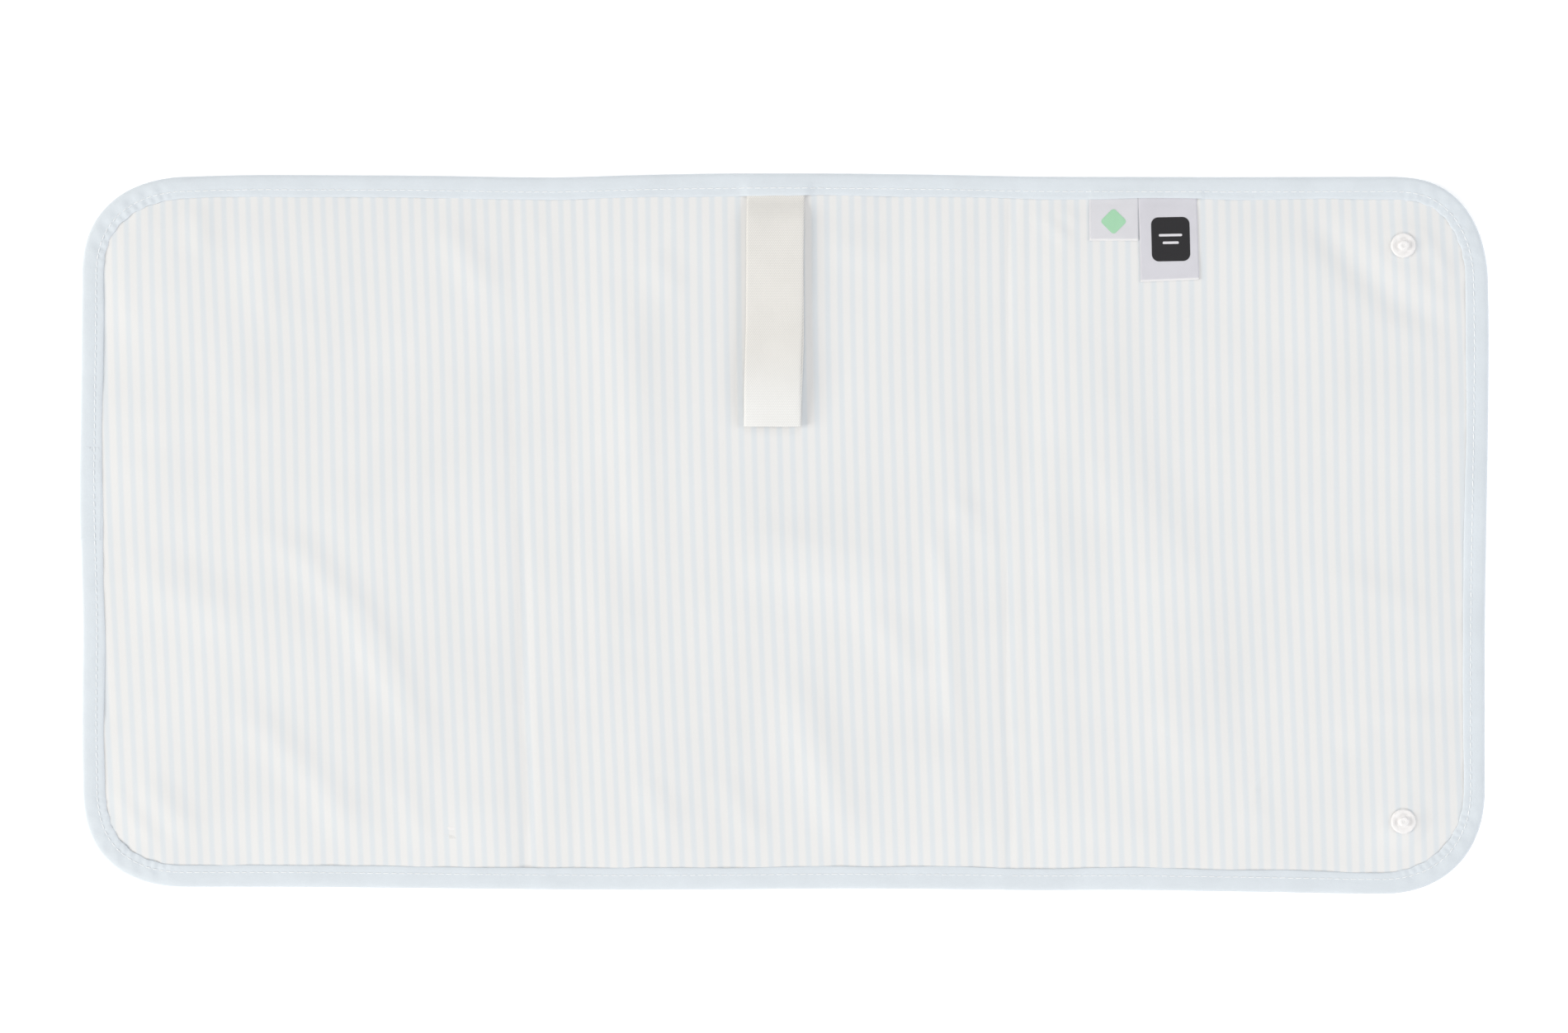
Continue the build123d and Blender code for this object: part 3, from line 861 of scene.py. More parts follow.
def label_print(name, colour, roughness):
    mat = Material(name)
    rest = mat.rest()
    x, y, _ = mat.xyz(rest)
    twill = mat.twill(x, y)
    tone = mat.ranged(twill, start=-1.0, end=1.0, low=0.93, high=1.05)
    spots = mat.mottle(rest, scale=3.0, detail=3.0, low=0.94, high=1.05)
    return mat.finish({
        "Base Color": mat.tint(colour, tone, spots),
        "Roughness": roughness,
        "Normal": mat.bump(twill, distance=0.00004, strength=0.5),
    })


def snap_plastic():
    mat = Material("snap_plastic")
    rest = mat.rest()
    flow = mat.mottle(rest, scale=0.5, detail=3.0, low=0.97, high=1.02)
    speck = mat.ranged(mat.noise(rest, scale=6.0), start=0.35, end=0.65, low=0.985, high=1.01)
    relief = mat.noise(rest, scale=2.5, detail=3.0)
    return mat.finish({
        "Base Color": mat.tint((0.825, 0.81, 0.805), flow, speck),
        "Roughness": mat.mottle(rest, scale=1.2, detail=3.0, low=0.58, high=0.68),
        "Subsurface Weight": 0.3,
        "Subsurface Radius": (1.0, 1.0, 1.0),
        "Subsurface Scale": 0.0008,
        "Emission Color": (1.0, 0.985, 0.98),
        "Emission Strength": 0.0,
        "Specular IOR Level": 0.16,
        "Normal": mat.bump(relief, distance=0.00005, strength=0.35),
    })


def wadding():
    mat = Material("wadding")
    rest = mat.rest()
    fibres = mat.noise(rest, scale=1.2, detail=8.0, roughness=0.75)
    tufts = mat.noise(rest, scale=0.12, detail=4.0, roughness=0.6)
    fluff = mat.weighted(fibres, 0.6, tufts, 0.4)
    tone = mat.ranged(fluff, start=0.3, end=0.7, low=0.9, high=1.03)
    return mat.finish({
        "Base Color": mat.tint(seen(240, 240, 238), tone),
        "Roughness": 0.95,
        "Sheen Weight": 0.3,
        "Normal": mat.bump(fibres, distance=0.0004, strength=0.8),
    })


def floor_white():
    mat = Material("floor")
    place = mat.node("TexCoord").outputs["Object"]
    tone = mat.mottle(place, scale=1.2, detail=2.0, low=0.985, high=1.0)
    return mat.finish({
        "Base Color": mat.tint((0.96, 0.96, 0.96), tone),
        "Emission Color": (1, 1, 1),
        "Emission Strength": 0.24,
        "Roughness": 0.9,
        "Specular IOR Level": 0.1,
    })


FACE_MAT = printed_cotton()
BACK_MAT = plain_backing()
TAPE_MAT = bias_tape()
THREAD_MAT = thread()
WEBBING_MAT = webbing()
LABEL_MATS = {
    "small": satin("satin_label_small", seen(227.5, 227, 232)),
    "large": satin("satin_label_large", seen(221.5, 220.5, 227.5)),
}
MINT_MAT = label_print("print_mint", seen(172, 223, 185), roughness=0.55)
BLACK_MAT = label_print("print_black", (0.0105, 0.0098, 0.0122), roughness=0.5)
PALE_MAT = label_print("print_pale", seen(232, 230, 235), roughness=0.5)
PLASTIC_MAT = snap_plastic()
WADDING_MAT = wadding()

# ---------------------------------------------------------------- sections of the pad
# The cover and binding are cut midway between each pair of folds and at the middle, so that
# each section bends about one fold only.
SPLIT_LEFT = (LEFT_INNER + LEFT_OUTER) / 2
SPLIT_MID = 0.0
SPLIT_RIGHT = (RIGHT_INNER + RIGHT_OUTER) / 2
BEND_LEFT, BEND_RIGHT = 9.3, 7.6  # half the width of a bend

# limits x0 and x1 (None: the pad's end), the body at each side of the fold, the fold's x,
# half the bend's width, and the endings of the frame pieces it replaces
Section = namedtuple("Section", "name x0 x1 body_left body_right fold bend nodes")
SECTIONS = [
    Section("left", None, SPLIT_LEFT, "panel_left", "spine_left",
            LEFT_OUTER, BEND_LEFT, ("left",)),
    Section("inner_left", SPLIT_LEFT, SPLIT_MID, "spine_left", "mid",
            LEFT_INNER, BEND_LEFT, ("spine_left",)),
    Section("inner_right", SPLIT_MID, SPLIT_RIGHT, "mid", "spine_right",
            RIGHT_INNER, BEND_RIGHT, ("mid",)),
    Section("right", SPLIT_RIGHT, None, "spine_right", "panel_right",
            RIGHT_OUTER, BEND_RIGHT, ("right", "spine_right")),
]


def attach(piece, section, kind):
    """Stands in for the frame pieces of this kind and bends about the section's fold."""
    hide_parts(*[f"{kind}_{node}" for node in section.nodes])
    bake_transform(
        piece, section.body_left, section.body_right,
        start=((section.fold - section.bend) * MM, 0, HINGE * MM),
        end=((section.fold + section.bend) * MM, 0, HINGE * MM),
    )


# ---------------------------------------------------------------- printed face and plain backing
STRIPE_PERIOD = 5.572
STRIPE_START = -350.55
# how far the stripes have shifted along x where the cloth was pulled: a row for each y
DRIFT_X = (-295, -229, -162, -96, -63, 4, 103, 203, 269)
DRIFT_Y = np.array((-134, -68, -1, 76, 143), float)
DRIFT = (
    (8.6, 7.7, 7.3, 6.9, 5.8, 7.3, 7.3, 8.9, 9.9),
    (5.1, 5.9, 4.4, 4.0, 2.4, 4.5, 4.8, 6.1, 7.5),
    (1.7, 2.3, 1.5, 1.7, 0.0, 1.7, 2.8, 3.2, 5.4),
    (-0.8, 0.4, -0.1, -0.3, -1.9, -0.1, 0.3, 1.5, 4.2),
    (-2.3, -3.5, -2.8, -2.8, -3.0, -0.9, -0.8, 0.5, 1.3),
)
drift_rows = [ease_curve(list(zip(DRIFT_X, row))) for row in DRIFT]


def drift(x, y):
    shifts = np.stack([row(x) for row in drift_rows])
    last = len(DRIFT_Y) - 1
    k = np.clip(np.searchsorted(DRIFT_Y, y) - 1, 0, last - 1)
    t = (y - DRIFT_Y[k]) / (DRIFT_Y[k + 1] - DRIFT_Y[k])

    def take(row):
        return np.take_along_axis(shifts, np.clip(row, 0, last)[None], 0)[0]

    start, end = take(k), take(k + 1)
    before = np.where(k > 0, take(k - 1), 2 * start - end)
    after = np.where(k < last - 1, take(k + 2), 2 * end - start)
    inner = catmull(before, start, end, after, t)
    return np.where((t < 0) | (t > 1), start + (end - start) * t, inner)


def stripe_count(x, y):
    """How many stripes lie to the left of a point."""
    return (x - STRIPE_START - drift(x, y)) / STRIPE_PERIOD


def build_face(section):
    X, Y = sheet_grid(section.x0, section.x1, COVER_INSET, step=1.6)
    top = face_top(X, Y)
    verts, faces, sharp = height_shell(*warp(X, Y), top, top - FACE_THICK)
    values = {"stripe": stripe_count(verts[:, 0], verts[:, 1])}
    name = f"cover_face_{section.name}"
    attach(new_piece(name, verts, faces, FACE_MAT, values, sharp), section, "face")


def build_backing(section):
    X, Y = sheet_grid(section.x0, section.x1, COVER_INSET, step=2.2)
    bottom = back_bottom(X, Y)
    verts, faces, sharp = height_shell(*warp(X, Y), bottom + BACK_THICK, bottom)
    name = f"cover_back_{section.name}"
    piece = new_piece(name, verts, faces, BACK_MAT, sharp=sharp)
    attach(piece, section, "backing")


for section in SECTIONS:
    build_face(section)
    build_backing(section)

# ---------------------------------------------------------------- wadding inside each panel
tuft = waves(61, 20, 6, 40)


def build_wadding(name, x0, x1):
    X, Y = sheet_grid(x0, x1, WADDING_INSET, step=3.2)
    x, y = warp(X, Y)
    margin = inset(X, Y) - WADDING_INSET
    if x0 is not None:
        margin = np.minimum(margin, X - x0)
    if x1 is not None:
        margin = np.minimum(margin, x1 - X)
    roll = np.sqrt(np.clip(1 - (1 - np.clip(margin / 4.0, 0, 1)) ** 2, 0, 1))
    high = face_top(X, Y) - FACE_THICK - 0.14
    low = back_bottom(X, Y) + BACK_THICK + 0.12
    # clear of the socket caps
    cap = snap_dimple(x, y, SOCKETS, 7.6, 9.5)
    low = low * (1 - cap) + np.maximum(low, SOCKET_FLOOR + 1.66) * cap
    middle, half = (high + low) / 2, np.maximum((high - low) / 2, 0.12)
    half = np.maximum(half * roll - 0.03 * (1 + tuft(x, y)) * roll, 0.06)
    verts, faces, _ = height_shell(x, y, middle + half, middle - half)
    piece = new_piece(f"wadding_block_{name}", verts, faces, WADDING_MAT)
    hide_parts(f"wadding_{name}")
    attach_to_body(piece, "mid" if name == "mid" else f"panel_{name}")


build_wadding("left", None, LEFT_OUTER - 11)
build_wadding("mid", LEFT_INNER + 10, RIGHT_INNER - 10)
build_wadding("right", RIGHT_OUTER + 10, None)

# ---------------------------------------------------------------- path round the outer edge
# From the middle of the top edge, anticlockwise: straights and corner arcs in turn.
ARC = math.pi / 2 * CORNER_R
LEGS = [CORE_X, ARC, 2 * CORE_Y, ARC, 2 * CORE_X, ARC, 2 * CORE_Y, ARC, CORE_X]
TOTAL = sum(LEGS)
MARKS = np.cumsum([0] + LEGS)
# start x, start y, direction x, direction y
STRAIGHTS = [
    (0, HALF_Y, -1, 0),
    (-HALF_X, CORE_Y, 0, -1),
    (-CORE_X, -HALF_Y, 1, 0),
    (HALF_X, -CORE_Y, 0, 1),
    (CORE_X, HALF_Y, -1, 0),
]
# centre x, centre y, start angle
ARCS = [
    (-CORE_X, CORE_Y, math.pi / 2),
    (-CORE_X, -CORE_Y, math.pi),
    (CORE_X, -CORE_Y, 1.5 * math.pi),
    (CORE_X, CORE_Y, 0.0),
]


def path(s):
    """Nominal x, y and the inward normal at a run s along the edge."""
    s = np.mod(np.asarray(s, float), TOTAL)
    x, y, nx, ny = (np.zeros_like(s) for _ in range(4))
    for i in range(len(LEGS)):
        on_leg = (s >= MARKS[i]) & (s <= MARKS[i + 1])
        run = s[on_leg] - MARKS[i]
        if i % 2:
            cx, cy, start = ARCS[i // 2]
            angle = start + run / CORNER_R
            nx[on_leg], ny[on_leg] = -np.cos(angle), -np.sin(angle)
            x[on_leg] = cx + CORNER_R * np.cos(angle)
            y[on_leg] = cy + CORNER_R * np.sin(angle)
        else:
            start_x, start_y, dx, dy = STRAIGHTS[i // 2]
            x[on_leg], y[on_leg] = start_x + dx * run, start_y + dy * run
            nx[on_leg], ny[on_leg] = -dy, dx
    return x, y, nx, ny


def corner_share(s):
    """1 inside a rounded corner, 0 along the straight sides."""
    s = np.mod(s, TOTAL)
    out = np.zeros_like(s)
    for i in (1, 3, 5, 7):
        middle = (MARKS[i] + MARKS[i + 1]) / 2
        out = np.maximum(out, 1 - ramp(np.abs(s - middle), 20, 16))
    return out


# ---------------------------------------------------------------- bias binding
STITCH_PITCH = TOTAL / round(TOTAL / 3.52)
GATHER_PITCH = 9.4
# distance in from the outer edge, height of the tape's upper surface
TOP_PROFILE = np.array([
    (0.0, TAPE_MID_Z), (0.12, 2.05), (0.5, 2.55), (1.2, 2.95), (2.3, 3.14), (3.6, 3.22),
    (4.9, 3.23), (5.8, 3.17), (6.65, 3.08), (7.4, 3.12), (8.3, 3.17), (9.2, 3.14),
    (9.75, 3.02), (10.0, 2.82),
])
# stations round the section, as distances in from the outer edge: outer and inner surface
OUTER_STATIONS = np.array([
    10.0, 9.8, 9.4, 8.9, 8.3, 7.7, 7.15, 6.65, 6.15,
    5.6, 5.0, 4.2, 3.3, 2.4, 1.6, 1.0, 0.5, 0.18,
])
INNER_STATIONS = np.array([9.7, 8.9, 7.7, 6.65, 5.6, 4.2, 2.4, 1.25])
TAPE_FLOOR = 0.03  # lowest the tape may hang above the floor
low_wave = along(71, 10, 25, 90)
mid_wave = along(72, 12, 9, 24)
edge_wave = along(73, 12, 14, 60)
gather_phase = along(74, 6, 60, 160)


def loop_share(x, y):
    """1 where the hanging loop is sewn in under the binding."""
    return ramp(x, -21.0, 5.0) * (1 - ramp(x, 8.6, 5.0)) * (y > 0)


def label_share(x, y):
    """1 where the labels are sewn in under the binding."""
    return ramp(x, 135.4, 1.4) * (1 - ramp(x, 185.8, 1.4)) * (y > 0)


def binding_height(s, inward, under=False):
    """Height of the tape's outer surface above (or below) the hinge plane."""
    z = np.interp(inward, TOP_PROFILE[:, 0], TOP_PROFILE[:, 1]) - TAPE_MID_Z
    shape = smooth(inward / 2.5)
    shift = 37.0 if under else 0.0  # so the two sides differ
    # gathers: short radial folds each side of the stitching, tight round the corners
    folds = np.sin(2 * math.pi * s / GATHER_PITCH + 1.6 * gather_phase(s + shift))
    folds = np.sign(folds) * np.abs(folds) ** 0.8
    outer = bell(inward - 4.6, 2.0)
    inner = bell(inward - 8.3, 1.4)
    inner_folds = np.sin(2 * math.pi * s / 4.5 + 2.2 * gather_phase(s + 50))
    gather = corner_share(s) * (0.26 * folds * outer + 0.24 * inner_folds * inner)
    easy = 0.05 * low_wave(s + shift) * shape + 0.045 * mid_wave(s + shift) * (outer + inner)
    # each stitch pulls the tape down a little and lets it rise between
    tug = 0.03 * np.cos(2 * math.pi * s / STITCH_PITCH) * bell(inward - STITCH_INSET, 0.9)
    z = z + (gather + easy) * shape + tug
    if under:
        return np.minimum(z * 0.8, 1.52)
    x, y, _, _ = path(s)
    z = z + 0.86 * loop_share(x, y) * ramp(inward, 0.8, 7.0)
    return z + 0.34 * label_share(x, y) * ramp(inward, 4.0, 4.0)


def no_growth(s):
    return 0.0 * s


def tape_run(s0, s1, step=0.88, shift_out=0.0, thick=0.55, grow=no_growth, draw_in=0.0):
    """Folded tape between two places on the path: rings of points round its C-shaped section.
    grow adds thickness outside; draw_in narrows the tape towards its end."""
    count = max(2, int(round(abs(s1 - s0) / step)) + 1)
    s = np.linspace(s0, s1, count)
    x, y, nx, ny = path(s)
    ripple = corner_share(s) * np.sin(2 * math.pi * s / GATHER_PITCH)
    wide = 1 + (0.022 * edge_wave(s) + 0.02 * ripple)[:, None]
    S, N = np.meshgrid(s, OUTER_STATIONS, indexing="ij")
    N = N - draw_in * smooth((S - s0) / (s1 - s0)) * ramp(N, 7.2, 2.6)
    S2, N2 = np.meshgrid(s, INNER_STATIONS, indexing="ij")
    extra = grow(s)[:, None]

    def low_surface(runs, inward, more):
        return np.maximum(HINGE - binding_height(runs, inward, under=True) - more, TAPE_FLOOR)

    # distance inward and height of each part, in order round the section
    parts = (
        (N * wide - shift_out - extra, HINGE + binding_height(S, N) + extra),
        (np.zeros((count, 1)) - shift_out - extra, np.full((count, 1), HINGE)),
        ((N * wide)[:, ::-1] - shift_out - extra, low_surface(S, N, extra)[:, ::-1]),
        (N2 * wide, low_surface(S2, N2, 0.0) + thick - 0.05),
        (np.full((count, 1), 0.8), np.full((count, 1), HINGE)),
        ((N2 * wide)[:, ::-1], (HINGE + binding_height(S2, N2) - thick)[:, ::-1]),
    )
    inward = np.hstack([part[0] for part in parts])
    z = np.hstack([part[1] for part in parts])
    wx, wy = warp(x[:, None] + nx[:, None] * inward, y[:, None] + ny[:, None] * inward)
    verts = np.stack([wx, wy, z], -1).reshape(-1, 3)
    idx = np.arange(z.size).reshape(z.shape)
    a, b = idx[:-1], idx[1:]
    quads = np.stack([a, np.roll(a, -1, 1), np.roll(b, -1, 1), b], -1).reshape(-1, 4)
    faces = quads.tolist() + [idx[0][::-1].tolist(), idx[-1].tolist()]
    # marks the tape's two folded-under edges fully and its outer fold by half, for the painted highlight
    # along them
    tip = len(OUTER_STATIONS)
    edge = np.zeros(z.shape)
    edge[:, :3] = [1.0, 0.7, 0.25]
    edge[:, 2 * tip - 2 : 2 * tip + 1] = [0.25, 0.7, 1.0]
    edge[:, tip - 2 : tip + 3] = 0.5
    return verts, faces, edge.ravel(), np.vstack([ring_pairs(idx[0]), ring_pairs(idx[-1])])


def tape_piece(name, runs):
    verts, faces, edge, sharp = [], [], [], []
    start = 0
    for run_verts, run_faces, run_edge, run_sharp in runs:
        verts.append(run_verts)
        faces += [[i + start for i in face] for face in run_faces]
        edge.append(run_edge)
        sharp.append(run_sharp + start)
        start += len(run_verts)
    values = {"edge": np.hstack(edge)}
    return new_piece(
        name, np.vstack(verts), faces, TAPE_MAT, values, np.vstack(sharp)
    )


def s_of_top(x):
    """Path place of a nominal x on the top edge."""
    return -x if x <= 0 else TOTAL - x


def s_of_bottom(x):
    return MARKS[4] + (x + CORE_X)


RUNS = {
    "left": [(s_of_top(SPLIT_LEFT), s_of_bottom(SPLIT_LEFT))],
    "inner_left": [
        (0.0, s_of_top(SPLIT_LEFT)),
        (s_of_bottom(SPLIT_LEFT), s_of_bottom(SPLIT_MID)),
    ],
    "inner_right": [
        (s_of_bottom(SPLIT_MID), s_of_bottom(SPLIT_RIGHT)),
        (s_of_top(SPLIT_RIGHT), TOTAL - 1e-6),
    ],
    "right": [(s_of_bottom(SPLIT_RIGHT), s_of_top(SPLIT_RIGHT))],
}

# the tape's end laps over its start near the middle of the left edge
LEFT_MIDDLE = MARKS[2] + CORE_Y
LAP_FROM, LAP_TO = LEFT_MIDDLE - 38.0, LEFT_MIDDLE + 3.9


def lap_grow(s):
    """Extra thickness where the tape's end laps over its start."""
    return 0.16 * ramp(s, LAP_FROM, 16.0) + 0.10 * bell(s - LAP_TO + 0.9, 0.9)


# ---------------------------------------------------------------- stitching
STITCH_LENGTH, THREAD_R = 2.66, 0.19
STITCH_RINGS, STITCH_SIDES = 9, 8


def stitches(runs, under):
    """One rounded bead of thread a stitch, along the tape."""
    t = np.sin(np.linspace(-1, 1, STITCH_RINGS) * math.pi / 2)
    radius = THREAD_R * np.clip(np.sqrt(np.clip(1 - np.abs(t) ** 5, 0, 1)), 0.28, 1)
    radius = radius[:, None, None]
    arch = 0.05 * (1 - t**2) - 0.10 * np.abs(t) ** 9
    angle = np.arange(STITCH_SIDES) / STITCH_SIDES * 2 * math.pi
    cosine, sine = np.cos(angle)[None, :, None], np.sin(angle)[None, :, None]
    base = np.arange(STITCH_RINGS * STITCH_SIDES).reshape(STITCH_RINGS, STITCH_SIDES)
    verts, faces = [], []
    rng = np.random.RandomState(5 + under)
    for s0, s1 in runs:
        first = math.ceil(s0 / STITCH_PITCH)
        last = math.floor((s1 - 1e-3) / STITCH_PITCH)
        for k in range(first, last + 1):
            middle = (k + 0.5) * STITCH_PITCH
            if not s0 <= middle < s1:
                continue
            s = middle + t * STITCH_LENGTH / 2
            sway = 0.05 * rng.uniform(-1, 1) + t * 0.09 * rng.uniform(0.3, 1.0)
            inward = STITCH_INSET + sway
            x, y, nx, ny = path(s)
            height = binding_height(s, np.full(STITCH_RINGS, STITCH_INSET), under)
            if under:
                z = np.maximum(HINGE - height - 0.08 - arch * 0.5, 0.05 + THREAD_R)
            else:
                height = height + np.where((s > LAP_FROM) & (s < LAP_TO), lap_grow(s), 0.0)
                z = HINGE + height + 0.07 + arch
            centre = np.stack([*warp(x + nx * inward, y + ny * inward), z], -1)
            tangent = np.gradient(centre, axis=0)
            tangent /= np.linalg.norm(tangent, axis=1)[:, None]
            side = np.cross(tangent, [0, 0, 1.0])
            side /= np.linalg.norm(side, axis=1)[:, None]
            up = np.cross(side, tangent)
            spoke = cosine * side[:, None, :] + sine * up[:, None, :]
            idx = base + len(verts) * base.size
            verts.append((centre[:, None, :] + radius * spoke).reshape(-1, 3))
            a, b = idx[:-1], idx[1:]
            quads = np.stack([a, b, np.roll(b, -1, 1), np.roll(a, -1, 1)], -1)
            faces += quads.reshape(-1, 4).tolist()
            faces += [idx[0].tolist(), idx[-1][::-1].tolist()]
    return np.vstack(verts), faces


def build_stitching(section):
    top_verts, top_faces = stitches(RUNS[section.name], under=False)
    low_verts, low_faces = stitches(RUNS[section.name], under=True)
    verts = np.vstack([top_verts, low_verts])
    faces = top_faces + [[i + len(top_verts) for i in face] for face in low_faces]
    piece = new_piece(f"stitching_{section.name}", verts, faces, THREAD_MAT)
    face_outwards(piece)
    attach(piece, section, "topstitch")


for section in SECTIONS:
    runs = [tape_run(s0, s1) for s0, s1 in RUNS[section.name]]
    attach(tape_piece(f"bias_binding_{section.name}", runs), section, "binding")
    build_stitching(section)

# the lapped end: one more layer, folded under and caught in the same seam
lap = tape_run(
    LAP_FROM, LAP_TO, step=0.6, shift_out=0.02, thick=0.3, grow=lap_grow, draw_in=1.15
)
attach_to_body(tape_piece("bias_binding_lap", [lap]), "panel_left")


# ---------------------------------------------------------------- snap closures
def turned(name, centre, profile, segments=72):
    """A solid of revolution about a vertical line; profile is a closed loop of (radius, z)."""
    angles = np.arange(segments) / segments * 2 * math.pi
    verts, rings, faces = [], [], []
    for radius, z in profile:
        start = len(verts)
        if radius < 1e-6:
            rings.append([start] * segments)
            verts.append((centre[0], centre[1], z))
        else:
            rings.append(list(range(start, start + segments)))
            verts += [
                (centre[0] + radius * math.cos(a), centre[1] + radius * math.sin(a), z)
                for a in angles
            ]
    for a, b in zip(rings, rings[1:] + rings[:1]):
        if a[0] == a[1] and b[0] == b[1]:
            continue
        for k in range(segments):
            m = (k + 1) % segments
            # on the axis two corners fall together and leave a triangle
            faces.append(list(dict.fromkeys((a[k], a[m], b[m], b[k]))))
    return new_piece(name, np.array(verts), faces, PLASTIC_MAT)


def rounded(rows, steps=5):
    """A closed (radius, z) profile with eased corners."""
    points = [np.array(row[:2], float) for row in rows]
    out = []
    for i, point in enumerate(points):
        easing = rows[i][2]
        if easing <= 0:
            out.append(tuple(point))
            continue
        back, ahead = points[i - 1] - point, points[(i + 1) % len(points)] - point
        back_length, ahead_length = np.linalg.norm(back), np.linalg.norm(ahead)
        back, ahead = back / back_length, ahead / ahead_length
        angle = math.acos(np.clip(back @ ahead, -1, 1))
        cut = min(easing / math.tan(angle / 2), back_length * 0.48, ahead_length * 0.48)
        for k in range(steps + 1):
            u = k / steps
            start, end = point + back * cut, point + ahead * cut
            out.append(tuple((1 - u) ** 2 * start + 2 * u * (1 - u) * point + u * u * end))
    return out


def raised(rows, base):
    return [(radius, base + z, easing) for radius, z, easing in rows]


# Profiles: radius, z, corner easing (0: sharp).
STUD = raised([  # z above STUD_FLOOR
    (1.55, 0.03, 0), (5.5, 0.03, 0.12), (5.52, 0.5, 0.3), (4.95, 0.86, 0.5),
    (3.9, 0.82, 0.5), (3.3, 0.68, 0.4), (2.6, 0.66, 0.35), (2.0, 0.86, 0.2),
    (1.88, 1.5, 0.4), (2.1, 1.9, 0.4), (1.78, 2.32, 0.35), (1.0, 2.36, 0.25),
    (0.7, 2.18, 0.2), (0, 2.14, 0), (0, 1.98, 0), (1.5, 1.7, 0.1), (1.55, 1.0, 0),
], STUD_FLOOR)
STUD_CAP = [
    (0, 0.04, 0), (3.2, 0.05, 1.2), (4.9, 0.16, 1.0), (6.1, 0.62, 0.5), (6.2, 1.12, 0.15),
    (5.9, 1.17, 0.1), (1.42, 1.17, 0.1), (1.4, STUD_FLOOR + 1.5, 0.2),
    (0.9, STUD_FLOOR + 1.82, 0.3), (0, STUD_FLOOR + 1.86, 0),
]
SOCKET = raised([  # z from SOCKET_FLOOR
    (1.55, -0.03, 0), (5.68, -0.03, 0.12), (5.7, -0.6, 0.2), (5.4, -0.8, 0.25),
    (4.3, -0.82, 0.2), (4.0, -1.05, 0.3), (3.85, -1.9, 0.25), (3.5, -2.2, 0.25),
    (2.75, -2.2, 0.25), (2.36, -1.9, 0.2), (2.34, -0.72, 0.1), (1.95, -0.68, 0.05),
    (1.95, -0.3, 0.05), (1.55, -0.28, 0),
], SOCKET_FLOOR)
SOCKET_CAP = raised([  # z from the top of the backing over the socket
    (0, 1.12, 0), (3.4, 1.1, 1.0), (5.2, 0.92, 0.9), (6.2, 0.42, 0.2), (6.2, 0.02, 0.05),
    (1.42, 0.0, 0.05),
], SOCKET_FLOOR + BACK_THICK + 0.06) + raised([  # z from SOCKET_FLOOR
    (1.42, -0.34, 0.05), (1.82, -0.36, 0.05), (1.8, -0.55, 0.1), (1.5, -0.64, 0.1),
    (0, -0.65, 0),
], SOCKET_FLOOR)

for side in ("upper", "lower"):
    for kind, places, profile, body in (
        ("stud", STUDS, STUD, "panel_right"),
        ("stud_cap", STUDS, STUD_CAP, "panel_right"),
        ("socket", SOCKETS, SOCKET, "panel_left"),
        ("socket_cap", SOCKETS, SOCKET_CAP, "panel_left"),
    ):
        node = f"{kind}_{side}"
        piece = turned(f"snap_{node}", places[side], rounded(profile))
        face_outwards(piece)
        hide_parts(node)
        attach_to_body(piece, body)


# ---------------------------------------------------------------- hanging loop
def spline(points, step):
    """A smooth open curve through points, sampled evenly, and the run at each sample."""
    points = np.array(points, float)
    padded = np.vstack([2 * points[0] - points[1], points, 2 * points[-1] - points[-2]])
    dense = [
        catmull(*padded[i - 1 : i + 3], t)
        for i in range(1, len(padded) - 2)
        for t in np.linspace(0, 1, 40, endpoint=False)
    ]
    dense = np.array(dense + [padded[-2]])
    run = np.r_[0, np.cumsum(np.linalg.norm(np.diff(dense, axis=0), axis=1))]
    s = np.linspace(0, run[-1], int(round(run[-1] / step)) + 1)
    return np.stack([np.interp(s, run, column) for column in dense.T], -1), s


def outward(tangent):
    """Normal in the y-z plane, to the outer side of a doubled-back strip."""
    return np.stack([np.zeros(tangent.shape[:-1]), tangent[..., 2], -tangent[..., 1]], -1)


END_Y = node_box("hanging_loop")[0][1]
ROOT_Y = 154.5
LOOP_HALF_WIDTH = 12.65
LOOP_HALF_THICK = 0.54
LOOP_COLS = 58
THREAD_RELIEF = 0.085
# centre line of the webbing: upper layer out from the edge, round the end, lower layer back
LOOP_LINE = [
    (-3.6, ROOT_Y, 3.22), (-3.6, 151.5, 3.32), (-3.7, 148.6, 3.86), (-3.8, 144.5, 5.05),
    (-3.9, 139.5, 6.22), (-4.0, 131.0, 6.86), (-4.1, 118.0, 7.04), (-4.3, 100.0, 7.22),
    (-4.6, 86.0, 7.52), (-4.9, 76.0, 7.82), (-5.1, 67.0, 7.92), (-5.2, 59.5, 7.62),
    (-5.2, END_Y + 6.0, 7.05), (-5.2, END_Y + 2.6, 6.66), (-5.2, END_Y + 1.0, 6.42),
    (-5.2, END_Y + 0.62, 6.14), (-5.2, END_Y + 1.1, 5.88), (-5.1, END_Y + 3.0, 5.76),
    (-4.9, 58.0, 5.74), (-4.4, 70.0, 5.72), (-3.9, 84.0, 5.71), (-3.8, 100.0, 5.70),
    (-3.9, 118.0, 5.66), (-4.1, 131.0, 5.50), (-4.0, 139.5, 4.98), (-3.9, 144.5, 4.02),
    (-3.8, 148.6, 3.06), (-3.7, 151.5, 2.70), (-3.7, ROOT_Y, 2.64),
]


